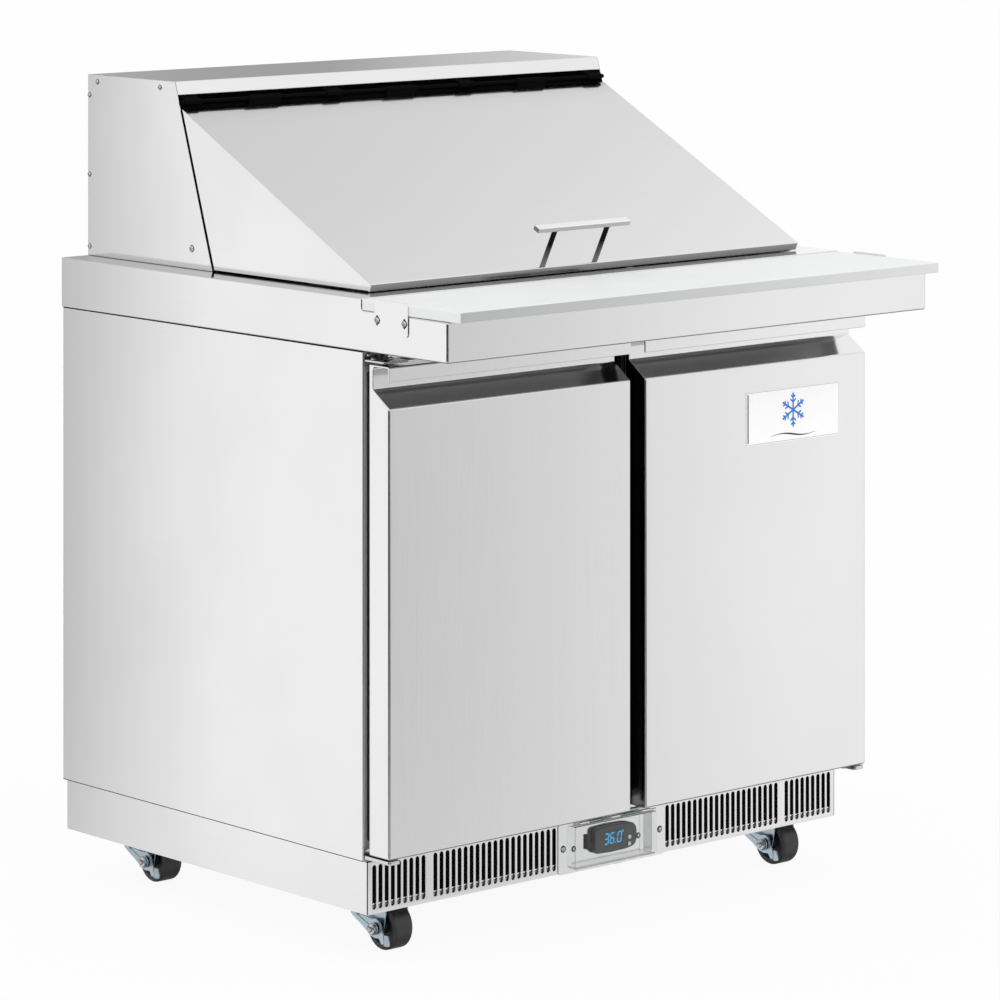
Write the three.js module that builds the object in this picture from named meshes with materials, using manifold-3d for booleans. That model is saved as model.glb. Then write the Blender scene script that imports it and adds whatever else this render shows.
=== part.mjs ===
// Sandwich prep table: two-door refrigerated base, worktop with a cold pan well, a sloped
// lift-up lid under a fixed hood, a removable cutting board and four braked swivel casters.
// Millimetres, +Z up, +Y towards the back, left is -X. Origin on the floor under the middle.
import * as THREE from "three";
import { mergeVertices } from "three/addons/utils/BufferGeometryUtils.js";
import Module from "manifold-3d";

const wasm = await Module();
wasm.setup();

// ---------------------------------------------------------------- ranges
// A range is a [low, high] pair along one axis.
const grow = ([low, high], by) => [low - by, high + by];
const around = (centre, half) => [centre - half, centre + half];
const middle = ([low, high]) => (low + high) / 2;
const repeat = (count, make) => Array.from({ length: count }, (_, i) => make(i));

// ---------------------------------------------------------------- shared dimensions
const SHEET = 1.2; // outer sheet metal

const BODY = {
  halfWidth: 461.1,
  inside: [-459.5, 459.5], // X range between the side panels
  front: -243.75,
  back: 446.75,
  bottom: 139.9,
  top: 836.4,
};
const PLINTH = {
  x: [-453.8, 453.8],
  z: [65.9, 137.7],
  floor: 78.2,
  sheet: 1.8,
};
const WELL = {
  x: [-409, 409],
  y: [-199, 337],
  ledge: 12,
  ledgeZ: 895,
};
const WHEEL = { radius: 31.75, width: 32 };
const CASTER = {
  x: 376.9,
  frontY: -200.55, // axles
  rearY: 320.75,
  trail: 25, // swivel axis behind the axle
};

// ---------------------------------------------------------------- solids
function solid(geometry) {
  const loose = geometry.index ? geometry.toNonIndexed() : geometry;
  loose.deleteAttribute("normal");
  loose.deleteAttribute("uv");
  const merged = mergeVertices(loose, 1e-4);
  const index = merged.index.array;
  const triangles = [];
  for (let i = 0; i < index.length; i += 3) {
    const [a, b, c] = [index[i], index[i + 1], index[i + 2]];
    if (a !== b && b !== c && a !== c) triangles.push([a, b, c]);
  }
  const make = (faces) => new wasm.Manifold(new wasm.Mesh({
    numProp: 3,
    vertProperties: new Float32Array(merged.attributes.position.array),
    triVerts: new Uint32Array(faces.flat()),
  }));
  const result = make(triangles);
  // A negative volume means that the faces point inwards.
  return result.volume() >= 0 ? result : make(triangles.map(([a, b, c]) => [a, c, b]));
}

function geometryOf(shape) {
  const mesh = shape.getMesh();
  const geometry = new THREE.BufferGeometry();
  geometry.setAttribute("position", new THREE.BufferAttribute(mesh.vertProperties, 3));
  geometry.setIndex(new THREE.BufferAttribute(mesh.triVerts, 1));
  const flat = geometry.toNonIndexed();
  flat.computeVertexNormals();
  return flat;
}

const join = (...shapes) => shapes.reduce((all, shape) => all.add(shape));
const cut = (body, ...tools) => tools.reduce((rest, tool) => rest.subtract(tool), body);
const mirrored = (shape) => solid(geometryOf(shape).scale(-1, 1, 1));

const box = (x, y, z) =>
  solid(new THREE.BoxGeometry(x[1] - x[0], y[1] - y[0], z[1] - z[0])
    .translate(middle(x), middle(y), middle(z)));

const extruded = (points, [low, high]) =>
  new THREE.ExtrudeGeometry(
    new THREE.Shape(points.map(([a, b]) => new THREE.Vector2(a, b))),
    { depth: high - low, bevelEnabled: false });
const axes = (...columns) =>
  new THREE.Matrix4().makeBasis(...columns.map((column) => new THREE.Vector3(...column)));
// Outline in Y,Z swept along X.
const alongX = (points, x) =>
  solid(extruded(points, x)
    .applyMatrix4(axes([0, 1, 0], [0, 0, 1], [1, 0, 0])).translate(x[0], 0, 0));
// Outline in X,Z swept along Y.
const alongY = (points, y) =>
  solid(extruded(points, y)
    .applyMatrix4(axes([1, 0, 0], [0, 0, 1], [0, -1, 0])).translate(0, y[1], 0));
// Outline in X,Y swept along Z.
const alongZ = (points, z) => solid(extruded(points, z).translate(0, 0, z[0]));

const cylinder = ([low, high], radius, sides) =>
  new THREE.CylinderGeometry(radius, radius, high - low, sides);
const rodX = (x, y, z, radius, sides = 12) =>
  solid(cylinder(x, radius, sides).rotateZ(Math.PI / 2).translate(middle(x), y, z));
const rodY = (x, y, z, radius, sides = 12) =>
  solid(cylinder(y, radius, sides).translate(x, middle(y), z));
const rodZ = (x, y, z, radius, sides = 12) =>
  solid(cylinder(z, radius, sides).rotateX(Math.PI / 2).translate(x, y, middle(z)));
// Profile of [radius, height] turned about Y.
const turned = (profile, sides) =>
  new THREE.LatheGeometry(profile.map(([r, h]) => new THREE.Vector2(r, h)), sides);

// Rectangle with rounded corners as an outline.
function rounded([left, right], [low, high], radius) {
  const steps = 2;
  const centres = [
    [right - radius, high - radius], [left + radius, high - radius],
    [left + radius, low + radius], [right - radius, low + radius],
  ];
  return centres.flatMap(([a, b], quarter) => repeat(steps + 1, (i) => {
    const angle = (quarter + i / steps) * Math.PI / 2;
    return [a + radius * Math.cos(angle), b + radius * Math.sin(angle)];
  }));
}

// Closed skin through rings with the same number of points, capped at both ends.
function loft(rings) {
  const count = rings[0].length;
  const last = (rings.length - 1) * count;
  const triangles = [];
  for (let start = 0; start < last; start += count)
    for (let i = 0; i < count; i++) {
      const a = start + i;
      const b = start + ((i + 1) % count);
      triangles.push(a, b, b + count, a, b + count, a + count);
    }
  for (let i = 1; i + 1 < count; i++)
    triangles.push(0, i + 1, i, last, last + i, last + i + 1);
  const geometry = new THREE.BufferGeometry();
  geometry.setAttribute("position", new THREE.Float32BufferAttribute(rings.flat(2), 3));
  geometry.setIndex(triangles);
  return solid(geometry);
}

// ---------------------------------------------------------------- finishes
const finish = (settings) => () => new THREE.MeshStandardMaterial(settings);
const steel = finish({ color: 0xdcdddf, roughness: 0.34, metalness: 0.85 });
const galvanised = finish({ color: 0xaeb6bb, roughness: 0.45, metalness: 0.8 });
const aluminium = finish({ color: 0xc8cacc, roughness: 0.4, metalness: 0.8 });
const zinc = finish({ color: 0xa9bac3, roughness: 0.35, metalness: 0.8 });
const darkPaint = finish({ color: 0x1d1f21, roughness: 0.5, metalness: 0.3 });
const rubber = finish({ color: 0x1a1a1b, roughness: 0.75, metalness: 0 });
const tread = finish({ color: 0x2b2b2c, roughness: 0.7, metalness: 0 });
const foam = finish({ color: 0xd9cfa8, roughness: 0.9, metalness: 0 });
const whitePlastic = finish({ color: 0xe9ebe8, roughness: 0.5, metalness: 0 });
const boardWhite = finish({ color: 0xf1f2ef, roughness: 0.55, metalness: 0 });
const casing = finish({ color: 0x4c4d4e, roughness: 0.5, metalness: 0 });
const buttonWhite = finish({ color: 0xeeeeee, roughness: 0.4, metalness: 0 });
const clear = finish({
  color: 0xe8f0f2, roughness: 0.1, metalness: 0, transparent: true, opacity: 0.35,
});

// ---------------------------------------------------------------- assembly helpers
const table = new THREE.Group();

function addGroup(parent = table) {
  const group = new THREE.Group();
  parent.add(group);
  return group;
}

function addPiece(parent, name, shape, material, position = [0, 0, 0]) {
  const mesh = new THREE.Mesh(geometryOf(shape), material());
  mesh.name = name;
  mesh.position.set(...position);
  parent.add(mesh);
  return mesh;
}

// Adds left-hand parts, then their mirror images. Columns: name, shape, material.
function addPairs(parent, parts) {
  for (const [side, place] of [["left", (shape) => shape], ["right", mirrored]])
    for (const [name, shape, material] of parts)
      addPiece(parent, `${side}_${name}`, place(shape), material);
}

// ---------------------------------------------------------------- cabinet
// Side sheet with a flange turned in at the front.
function sidePanel() {
  const outer = -BODY.halfWidth;
  const flangeEnd = -446;
  return alongZ([
    [outer, BODY.front], [flangeEnd, BODY.front], [flangeEnd, BODY.front + SHEET],
    [outer + SHEET, BODY.front + SHEET], [outer + SHEET, BODY.back], [outer, BODY.back],
  ], [BODY.bottom, BODY.top]);
}

// Rear sheet with louvre slots over the machine bay.
function rearPanel() {
  const louvre = { rows: 7, pitch: 22, bottom: 160, height: 9, halfLength: 125 };
  const slots = repeat(louvre.rows, (row) => {
    const z = louvre.bottom + row * louvre.pitch;
    return [-290, 0, 290].map((x) => box(
      around(x, louvre.halfLength), [BODY.back - 3, BODY.back + 2], [z, z + louvre.height]));
  }).flat();
  const sheet = box(BODY.inside, [BODY.back - SHEET, BODY.back], [BODY.bottom, BODY.top]);
  return cut(sheet, ...slots);
}

// Storage cavity in Y,Z, shrunk by an inset, with a step at the back over the machine bay.
const cavityOutline = (inset, front, top) => [
  [front, 190 + inset], [150 - inset, 190 + inset], [150 - inset, 378 + inset],
  [395 - inset, 378 + inset], [395 - inset, top], [-195 + inset, top],
  [-195 + inset, 790 - inset], [front, 790 - inset],
];
const CAVITY_HALF = 415;

function insulation() {
  const machineBay = box([-470, 470], [195, 460], [130, 330]);
  return cut(
    box(BODY.inside, [-241.3, 445.2], [140.2, 906.6]),
    alongX(cavityOutline(0, -260, 840), around(0, CAVITY_HALF)),
    machineBay,
    box(grow(WELL.x, 2.9), grow(WELL.y, 2.9), [836.2, 920]),
  );
}

function cavityLiner() {
  const gap = 0.3;
  const inside = gap + 1.5;
  return cut(
    alongX(cavityOutline(gap, -241.35, 836), around(0, CAVITY_HALF - gap)),
    alongX(cavityOutline(inside, -260, 860), around(0, CAVITY_HALF - inside)),
  );
}

// Frame round the two door openings, with the centre mullion the gaskets close on.
function faceFrame() {
  const opening = (x) => box(x, [-260, -230], [190.5, 789]);
  const frame = box([-445.6, 445.6], [BODY.front, BODY.front + 2], [140.2, 836.3]);
  const mullion = box([-33.5, 33.5], [BODY.front + 1, -207], [192.3, 787.8]);
  return join(cut(frame, opening([-413, -34]), opening([34, 413])), mullion);
}

// Rectangular frame with two cross rails and wires running front to back.
function wireShelf() {
  const [x, y, z] = [[-405, 405], [-192, 283], [470, 476]];
  const rail = 6;
  const wire = { each: 6, pitch: 60, half: 2 }; // wires each side of the middle one
  const frame = cut(box(x, y, z), box(grow(x, -rail), grow(y, -rail), [460, 480]));
  const rails = [-32, 122].map((at) => box(grow(x, -rail / 2), around(at, rail / 2), z));
  const wires = repeat(2 * wire.each + 1, (i) => box(
    around((i - wire.each) * wire.pitch, wire.half), grow(y, -rail / 2), [474, 478]));
  return join(frame, ...rails, ...wires);
}

const cabinet = addGroup();
addPairs(cabinet, [["side_panel", sidePanel(), steel]]);
addPiece(cabinet, "rear_panel", rearPanel(), steel);
addPiece(cabinet, "cabinet_insulation", insulation(), foam);
addPiece(cabinet, "cavity_liner", cavityLiner(), aluminium);
addPiece(cabinet, "face_frame", faceFrame(), steel);
addPiece(cabinet, "wire_shelf", wireShelf(), galvanised);

// ---------------------------------------------------------------- refrigeration
const EVAPORATOR_FAN = { y: 318, z: 470 };
const CONDENSER = { x: [-392, -168], z: [82, 306], front: 222 };
const CONDENSER_FAN = {
  x: middle(CONDENSER.x),
  y: CONDENSER.front + 58,
  z: middle(CONDENSER.z),
};

// Box open at the back, with a round opening crossed by two bars and a hub disc.
function evaporatorCover() {
  const { z } = EVAPORATOR_FAN;
  const opening = 76;
  const bar = { half: 4, reach: opening + 2, y: [296.2, 298] };
  return join(
    cut(
      box([-250, 250], [296, 392.6], [380.2, 560]),
      box([-248, 248], [298, 400], [382, 558]),
      rodY(0, [280, 310], z, opening, 20),
    ),
    box(around(0, bar.reach), bar.y, around(z, bar.half)),
    box(around(0, bar.half), bar.y, around(z, bar.reach)),
    rodY(0, [296.2, 300], z, 18),
  );
}

function evaporatorCoil() {
  const grooves = repeat(5, (i) => box([-232, 232], [340, 352], [402 + i * 30, 412 + i * 30]));
  return cut(box([-235, 235], [345, 388], [392, 548]), ...grooves);
}

// Fan centred on the origin, turning about Y.
function fan({ radius, hub, depth, blades }) {
  const overlap = 4; // of a blade into the hub
  const blade = { thickness: 1.6, chord: 0.42 * radius, twist: 0.55 };
  return join(rodY(0, around(0, depth / 2), 0, hub), ...repeat(blades, (i) =>
    solid(new THREE.BoxGeometry(radius - hub + overlap, blade.thickness, blade.chord)
      .rotateX(blade.twist)
      .translate((radius + hub - overlap) / 2, 0, 0)
      .rotateY((i * 2 * Math.PI) / blades))));
}

// Grooved block with a fan shroud behind it, a bar across the opening and a round motor.
function condenserCoil() {
  const { x, z, front } = CONDENSER;
  const centre = CONDENSER_FAN;
  const grooves = repeat(6, (i) =>
    box(grow(x, -6), [front - 4, front + 8], [98 + i * 34, 110 + i * 34]));
  const shroud = cut(
    box(x, [front + 43, front + 78], z),
    rodY(centre.x, [front + 44, front + 90], centre.z, 104, 20));
  return join(
    cut(box(x, [front, front + 44], z), ...grooves),
    shroud,
    box(grow(x, -2), [front + 76, front + 78], around(centre.z, 4)),
    rodY(centre.x, [front + 70, front + 112], centre.z, 30),
  );
}

// Domed pot on a base plate, with a stub pipe and a box on its right side.
function compressor() {
  // Columns: radius, height.
  const pot = [[0, 2], [72, 2], [76, 10], [76, 100], [66, 136], [34, 156], [0, 160]];
  return join(
    solid(turned(pot, 20).rotateX(Math.PI / 2)),
    box([-92, 92], [-58, 58], [0, 5]),
    rodX([60, 130], 3, 38, 6, 8),
    box([60, 96], [-24, 24], [66, 118]),
  );
}

const plant = addGroup();
addPiece(plant, "evaporator_cover", evaporatorCover(), aluminium);
addPiece(plant, "evaporator_coil", evaporatorCoil(), aluminium);
addPiece(plant, "evaporator_fan", fan({ radius: 66, hub: 17, depth: 26, blades: 4 }),
  darkPaint, [0, EVAPORATOR_FAN.y, EVAPORATOR_FAN.z]);
addPiece(plant, "condenser_coil", condenserCoil(), darkPaint);
addPiece(plant, "condenser_fan", fan({ radius: 94, hub: 24, depth: 18, blades: 5 }),
  casing, [CONDENSER_FAN.x, CONDENSER_FAN.y, CONDENSER_FAN.z]);
addPiece(plant, "compressor", compressor(), darkPaint, [180, 318, PLINTH.floor + 2.2]);

// ---------------------------------------------------------------- plinth
// Open-fronted tray with two upright plates and a pad over each caster.
function plinthFrame() {
  const { x, z, floor, sheet } = PLINTH;
  const insideX = grow(x, -sheet);
  const insideY = [-260, BODY.back - sheet];
  const tray = cut(
    box(x, [-241.5, BODY.back], z),
    box(insideX, insideY, [floor + sheet, 150]),
    box(insideX, insideY, [50, floor]),
  );
  const plates = [-211, 211].map((at) =>
    box(around(at, 1), [-225, 188], [floor + 0.9, 139.8]));
  const pads = [-CASTER.x, CASTER.x].flatMap((at) =>
    [CASTER.frontY, CASTER.rearY].map((axle) =>
      box(around(at, 34), around(axle + CASTER.trail, 28), [73.4, floor + 0.5])));
  const controlRoom = box([-82, 82], [-245, -233.5], [floor - 3, floor + 5]);
  return cut(join(tray, ...plates, ...pads), controlRoom);
}

// Stamped air intake: 60 round-ended slots, clear of the control panel in the middle.
const SLOT = { pitch: 11.06, radius: 3, bottom: 72.3, top: 132.4 };
// Columns: X of the first slot, number of slots.
const SLOT_RUNS = [[-441.6, 9], [-331.4, 21], [110.1, 21], [353.1, 9]];

function slotOutline(x) {
  const { radius, bottom, top } = SLOT;
  const ends = [[top - radius, 0], [bottom + radius, Math.PI]];
  return ends.flatMap(([z, start]) => repeat(4, (i) => {
    const angle = start + i * Math.PI / 3;
    return [x + radius * Math.cos(angle), z + radius * Math.sin(angle)];
  }));
}

function frontGrille() {
  const { x, z } = PLINTH;
  const sheet = join(
    box(x, [BODY.front, BODY.front + SHEET], z),
    box(x, [BODY.front, BODY.front + 1.9], [z[0], z[0] + SHEET]),
  );
  const slots = SLOT_RUNS.flatMap(([first, count]) => repeat(count, (i) =>
    alongY(slotOutline(first + i * SLOT.pitch), around(BODY.front, 3))));
  const controlOpening = box([-81, 81], [BODY.front - 3, BODY.front + 5], [68.4, 131.8]);
  return cut(sheet, ...slots, controlOpening);
}

const plinth = addGroup();
addPiece(plinth, "plinth_frame", plinthFrame(), steel);
addPiece(plinth, "front_grille", frontGrille(), steel);

// ---------------------------------------------------------------- temperature control
const BEZEL = { half: 103, front: -245.3, bottom: 64.6, top: 135.6 };
const COVER_HINGE = { y: -251.6, z: 134.2, knuckle: 2.2, wire: 0.9, bore: 1.35 };
// Columns: name, X, Z.
const BUTTONS = [
  ["controller_set_button", 33.9, 99.2],
  ["controller_power_button", 33.4, 89.6],
];

const coverHingeRod = (x, radius, sides = 10) =>
  rodX(x, COVER_HINGE.y, COVER_HINGE.z, radius, sides);

// Plate with a shallow box let into its middle and the hinge wire along its top.
function controlBezel() {
  const { half, front, bottom, top } = BEZEL;
  const plate = alongY([
    [-half, bottom], [half, bottom], [half, top - 6], [half - 2, top - 2],
    [half - 6, top], [-half + 6, top], [-half + 2, top - 2], [-half, top - 6],
  ], [front, front + SHEET]);
  const tray = cut(
    join(plate, box([-79.5, 79.5], [front + 0.5, -235], [70, 130.4])),
    box([-78.2, 78.2], [front - 3, -236.4], [71.3, 129.1]),
  );
  const knuckles = [-60, 0, 60].flatMap((x) => [
    coverHingeRod(around(x, 9), COVER_HINGE.knuckle),
    box(around(x, 9), [COVER_HINGE.y, front + 0.6], [133.6, top]),
  ]);
  return join(tray, ...knuckles, coverHingeRod([-80, 80], COVER_HINGE.wire, 8));
}

// Controller face in X,Z, shrunk by an inset.
const controllerOutline = (inset) => [
  [-44 + inset, 87 + inset], [-40 + inset, 83.4 + inset], [0, 82.2 + inset],
  [28, 83 + inset], [40 - inset, 85.5 + inset], [44 - inset, 92], [45 - inset, 101],
  [44 - inset, 111], [40 - inset, 118 - inset], [28, 120.2 - inset], [0, 121 - inset],
  [-40 + inset, 119.6 - inset], [-44 + inset, 116 - inset],
];

function temperatureController() {
  const housing = join(
    alongY(controllerOutline(0), [-244, -236.8]),
    alongY(controllerOutline(2.2), [-246, -243.5]),
    box([-55, -43], [-241.5, -236.8], [92, 111]),
  );
  return cut(housing, ...BUTTONS.map(([, x, z]) => rodY(x, [-248, -242.4], z, 3.7)));
}

// Clear flap open at the back, with a thumb tab below and two knuckles on the hinge wire.
function controlCover() {
  const x = [-79.2, 79.2];
  const z = [70.2, 131.4];
  const wall = 1.5;
  const shell = cut(
    box(x, [-254.4, -245.7], z),
    box(grow(x, -wall), [-252.9, -240], grow(z, -wall)));
  const tab = box([-3, 13], [-254.4, -252.9], [67.4, 71]);
  const knuckles = [-30, 30].flatMap((at) => [
    coverHingeRod(around(at, 19), COVER_HINGE.knuckle),
    box(around(at, 19), around(COVER_HINGE.y, 1.2), [131, 133]),
  ]);
  return cut(join(shell, tab, ...knuckles), coverHingeRod([-90, 90], COVER_HINGE.bore));
}

const control = addGroup();
addPiece(control, "control_bezel", controlBezel(), steel);
addPiece(control, "temperature_controller", temperatureController(), casing);
addPiece(control, "control_cover", controlCover(), clear);
for (const [name, x, z] of BUTTONS)
  addPiece(control, name, rodY(x, [-246.9, -243.2], z, 3.1), buttonWhite);

// ---------------------------------------------------------------- worktop
const WORKTOP = {
  x: [-463.5, 463.5],
  front: -422.4, // front face of the board shelf
  stepY: -243, // where the worktop steps down to the board shelf
  back: 448.25,
  underside: 836.8,
  shelfZ: 892.7,
  top: 909.3,
  wall: 2,
};
const DIVIDER_Y = middle(WELL.y);

// Hollow top, open underneath behind the shelf, with a ledge round the pan opening.
function worktopShell() {
  const { x, front, stepY, back, underside, shelfZ, top, wall } = WORKTOP;
  const opening = { x: grow(WELL.x, -WELL.ledge), y: grow(WELL.y, -WELL.ledge) };
  const block = alongX([
    [front, underside], [back, underside], [back, top],
    [stepY, top], [stepY, shelfZ], [front, shelfZ],
  ], x);
  const rearHollow = cut(
    box(grow(x, -wall), [-241.7, back - wall], [830, top - wall]),
    box(grow(WELL.x, wall), grow(WELL.y, wall), [WELL.ledgeZ - wall, 915]),
    box(grow(opening.x, wall), grow(opening.y, wall), [820, WELL.ledgeZ]),
  );
  const shelfHollow = box(
    grow(x, -wall), [front + wall, -241.5], [underside + wall, shelfZ - wall]);
  const dividerNotch = box(grow(WELL.x, -8), around(DIVIDER_Y, 10.1), [886.9, 905]);
  return cut(
    block,
    join(rearHollow, shelfHollow),
    box(WELL.x, WELL.y, [WELL.ledgeZ, 920]),
    box(opening.x, opening.y, [820, 905]),
    dividerNotch,
  );
}

// Channel open at the bottom, across the middle of the well.
function dividerBar() {
  const wall = 1.5;
  const [bottom, top] = [887.2, 894.9];
  const [front, back] = around(DIVIDER_Y, 9.7);
  return alongX([
    [front, bottom], [front + wall, bottom], [front + wall, top - wall],
    [back - wall, top - wall], [back - wall, bottom], [back, bottom],
    [back, top], [front, top],
  ], [-400.4, 400.4]);
}

// Rounded plate on the left edge of the shelf, with two screw holes.
function boardBracket() {
  const edge = WORKTOP.x[0];
  return cut(
    alongX(rounded([-342, -272], [864, 910.4], 4), [edge - 1.5, edge - 0.3]),
    ...[-278, -335].map((y) => rodX([edge - 4, edge + 2], y, 882.5, 2.4, 10)));
}

const cuttingBoard = () =>
  box([-463.3, 463.3], [-448.25, WORKTOP.stepY - 0.35], [WORKTOP.shelfZ + 0.3, 907.8]);

const worktop = addGroup();
addPiece(worktop, "worktop", worktopShell(), steel);
addPiece(worktop, "pan_divider_bar", dividerBar(), steel);
addPairs(worktop, [["board_bracket", boardBracket(), steel]]);
addPiece(worktop, "cutting_board", cuttingBoard(), boardWhite);

// ---------------------------------------------------------------- pans
// Four half-size and two quarter-size, hanging by their rims on the ledge and divider bar.
const PAN = { length: 264.4, depth: 100, rim: 13, rimZ: 895.35 };
// Columns: name, Y.
const PAN_ROWS = [["front", DIVIDER_Y - 132.6], ["rear", DIVIDER_Y + 132.6]];
// Columns: name, X, width.
const PAN_COLUMNS = [["left", -243.5, 324.4], ["centre", 81.5, 324.4], ["right", 325, 161.6]];

function pan(width) {
  const { length, depth, rim } = PAN;
  // From the inner floor over the rim to the underside. Columns: inset, Z, corner radius.
  const stations = [
    [rim + 9, 1 - depth, 18], [rim + 1, 1.2, 22], [0, 1.2, 8],
    [0, 0, 8], [rim, 0, 23], [rim + 8, -depth, 19],
  ];
  return loft(stations.map(([inset, z, radius]) =>
    rounded(around(0, width / 2 - inset), around(0, length / 2 - inset), radius)
      .map(([x, y]) => [x, y, z])));
}

const pans = addGroup(worktop);
for (const [row, y] of PAN_ROWS)
  for (const [column, x, width] of PAN_COLUMNS)
    addPiece(pans, `${row}_${column}_pan`, pan(width), steel, [x, y, PAN.rimZ]);

// ---------------------------------------------------------------- fixed hood
const HOOD = { x: [-416.4, 416.4], bottom: 909.6, top: 1177.2, back: 446.35 };
// Line of the front edge of a hood side.
const SEAM = { y0: 148.05, z0: WORKTOP.top, y1: 236.65, z1: HOOD.top };
const LID_PIN = { y: 222, z: 1148, radius: 3, barrel: 6 };

const seamY = (z) => SEAM.y0 + (z - SEAM.z0) * (SEAM.y1 - SEAM.y0) / (SEAM.z1 - SEAM.z0);
const lidPinRod = (x, radius) => rodX(x, LID_PIN.y, LID_PIN.z, radius);

// Adds hinge barrels, each with a leaf of the given ranges, and bores them for the pin.
function withBarrels(shell, { centres, half, leafY, leafZ }) {
  const barrels = centres.flatMap((centre) => {
    const x = around(centre, half);
    return [lidPinRod(x, LID_PIN.barrel), box(x, leafY, leafZ)];
  });
  return cut(join(shell, ...barrels), lidPinRod([-500, 500], LID_PIN.radius + 0.5));
}

// Bent sheet: front lip, top and back.
function hoodShell() {
  const { back, bottom, top } = HOOD;
  const wall = 1.5;
  const sheet = alongX([
    [229.85, 1156.6], [SEAM.y1, top], [back, top], [back, bottom],
    [back - wall, bottom], [back - wall, top - wall], [237.75, top - wall],
    [231.95, 1158.1], [252, 1158.1], [252, 1156.6],
  ], grow(HOOD.x, -1.8));
  return withBarrels(sheet, {
    centres: [-395, -130, 130, 395], half: 15, leafY: [224.4, 232.4], leafZ: [1147, 1157.4],
  });
}

// Side sheet with a foot flange turned in along the worktop.
function hoodSide() {
  const { back, bottom, top } = HOOD;
  const outer = HOOD.x[0];
  return join(
    alongX([[back, bottom], [back, top], [SEAM.y1, top], [seamY(bottom), bottom]],
      [outer, outer + 1.4]),
    box([outer + 0.4, outer + 16], [160, 444], [bottom, 911]),
  );
}

const hood = addGroup();
addPiece(hood, "hood_shell", hoodShell(), steel);
addPairs(hood, [["hood_side", hoodSide(), steel]]);
addPiece(hood, "lid_hinge_pin", lidPinRod(grow(HOOD.x, -2), LID_PIN.radius), zinc);

// ---------------------------------------------------------------- sloped lid
const LID = {
  footY: -206.45, // lower edge of the slope
  footZ: 921.1,
  slope: 219.9 / 431.6, // about 27 degrees
  topY: 221.9,
  bottom: 911.7,
};
const slopeZ = (y, drop = 0) => LID.footZ + LID.slope * (y - LID.footY) - drop;

// Sloped sheet with closed ends, open underneath and at the back.
function lidShell() {
  const outer = alongX([
    [LID.topY, slopeZ(LID.topY)], [LID.footY, LID.footZ],
    [-201.45, LID.bottom], [seamY(LID.bottom) - 2.8, LID.bottom],
  ], HOOD.x);
  const hollow = alongX([
    [-204.41, 920.456], [-200.12, 912.3], [-196, 900], [300, 900], [300, slopeZ(300, 1.683)],
  ], grow(HOOD.x, -1.5));
  return withBarrels(cut(outer, hollow), {
    centres: [-262, 0, 262], half: 30, leafY: [216, 223.4], leafZ: [1135.2, 1146],
  });
}

function lidLiner() {
  const [front, back] = [-190, 205];
  const [upper, lower] = [2.2, 22.4]; // faces, measured down from the slope
  return alongX([
    [front, slopeZ(front, upper)], [front, 914.5], [-175, 914.5],
    [back, slopeZ(back, lower)], [back, slopeZ(back, upper)],
  ], [-411.5, 411.5]);
}

// Flat bar on two posts that stand square to the slope.
function lidHandle() {
  const bar = [61, 67.5];
  const posts = [-50.5, 50.5].map((x) => rodZ(x, 0, [0.35, bar[0] + 2], 3.8, 10));
  return join(box([-88.5, 88.5], [-6, 6], bar), ...posts);
}

const lid = addGroup();
addPiece(lid, "lid_shell", lidShell(), steel);
addPiece(lid, "lid_liner", lidLiner(), whitePlastic);
const tilt = Math.atan(LID.slope);
const upSlope = 5; // handle's distance from the foot of the slope
addPiece(lid, "lid_handle", lidHandle(), steel, [
  -44, LID.footY + upSlope * Math.cos(tilt), LID.footZ + upSlope * Math.sin(tilt),
]).rotation.x = tilt;

// ---------------------------------------------------------------- doors (left-hand shapes)
const DOOR = {
  x: [-462.6, -14.1],
  front: -300.15,
  back: -258.5,
  bottom: 151.2,
  faceTop: 763.2, // where the recessed pull starts
  top: 820.4,
};
const DOOR_PIVOT = { x: -446, y: -272, radius: 4 };

const pivotRod = (z, clearance = 0) =>
  rodZ(DOOR_PIVOT.x, DOOR_PIVOT.y, z, DOOR_PIVOT.radius + clearance);

// Inside of the skin behind the pull recess; recess is its inner [Y, Z] corner.
function doorInside({ inset, back, faceTop, recess }) {
  const front = DOOR.front + inset;
  const [bottom, top] = [DOOR.bottom + inset, DOOR.top - inset];
  return alongX([
    [back, bottom], [front, bottom], [front, faceTop], recess, [recess[0], top], [back, top],
  ], grow(DOOR.x, -inset));
}

function doorSkin() {
  const { front, back, bottom, faceTop, top } = DOOR;
  // The pull recess runs back to Y -266, behind a lip that hangs down to Z 800.
  const outer = alongX([
    [back, bottom], [front, bottom], [front, faceTop], [-266, 786.5], [-266, 817.9],
    [-297.65, 817.9], [-297.65, 800], [front, 800], [front, top], [back, top],
  ], DOOR.x);
  const inside = { inset: SHEET, back: -250, faceTop: 762.5, recess: [-264.8, 785.9] };
  return cut(outer, doorInside(inside), pivotRod([140, 156], 0.6), pivotRod([810, 830], 0.6));
}

// Filling of the skin with a stepped inner face.
function doorLiner() {
  const filling = join(
    doorInside({ inset: 1.7, back: -257, faceTop: 762.2, recess: [-264.3, 785.6] }),
    box([-456, -20.6], [DOOR.back + 0.4, -254.1], [158, 813.6]),
    box([-430, -34], [-255, -249], [182, 790]),
  );
  return cut(filling, pivotRod([140, 166], 1.4));
}

function doorGasket() {
  const [x, z] = [[-447, -17], [165, 807]];
  const width = 13;
  return cut(box(x, [-253.7, -244.3], z), box(grow(x, -width), [-260, -240], grow(z, -width)));
}

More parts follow.
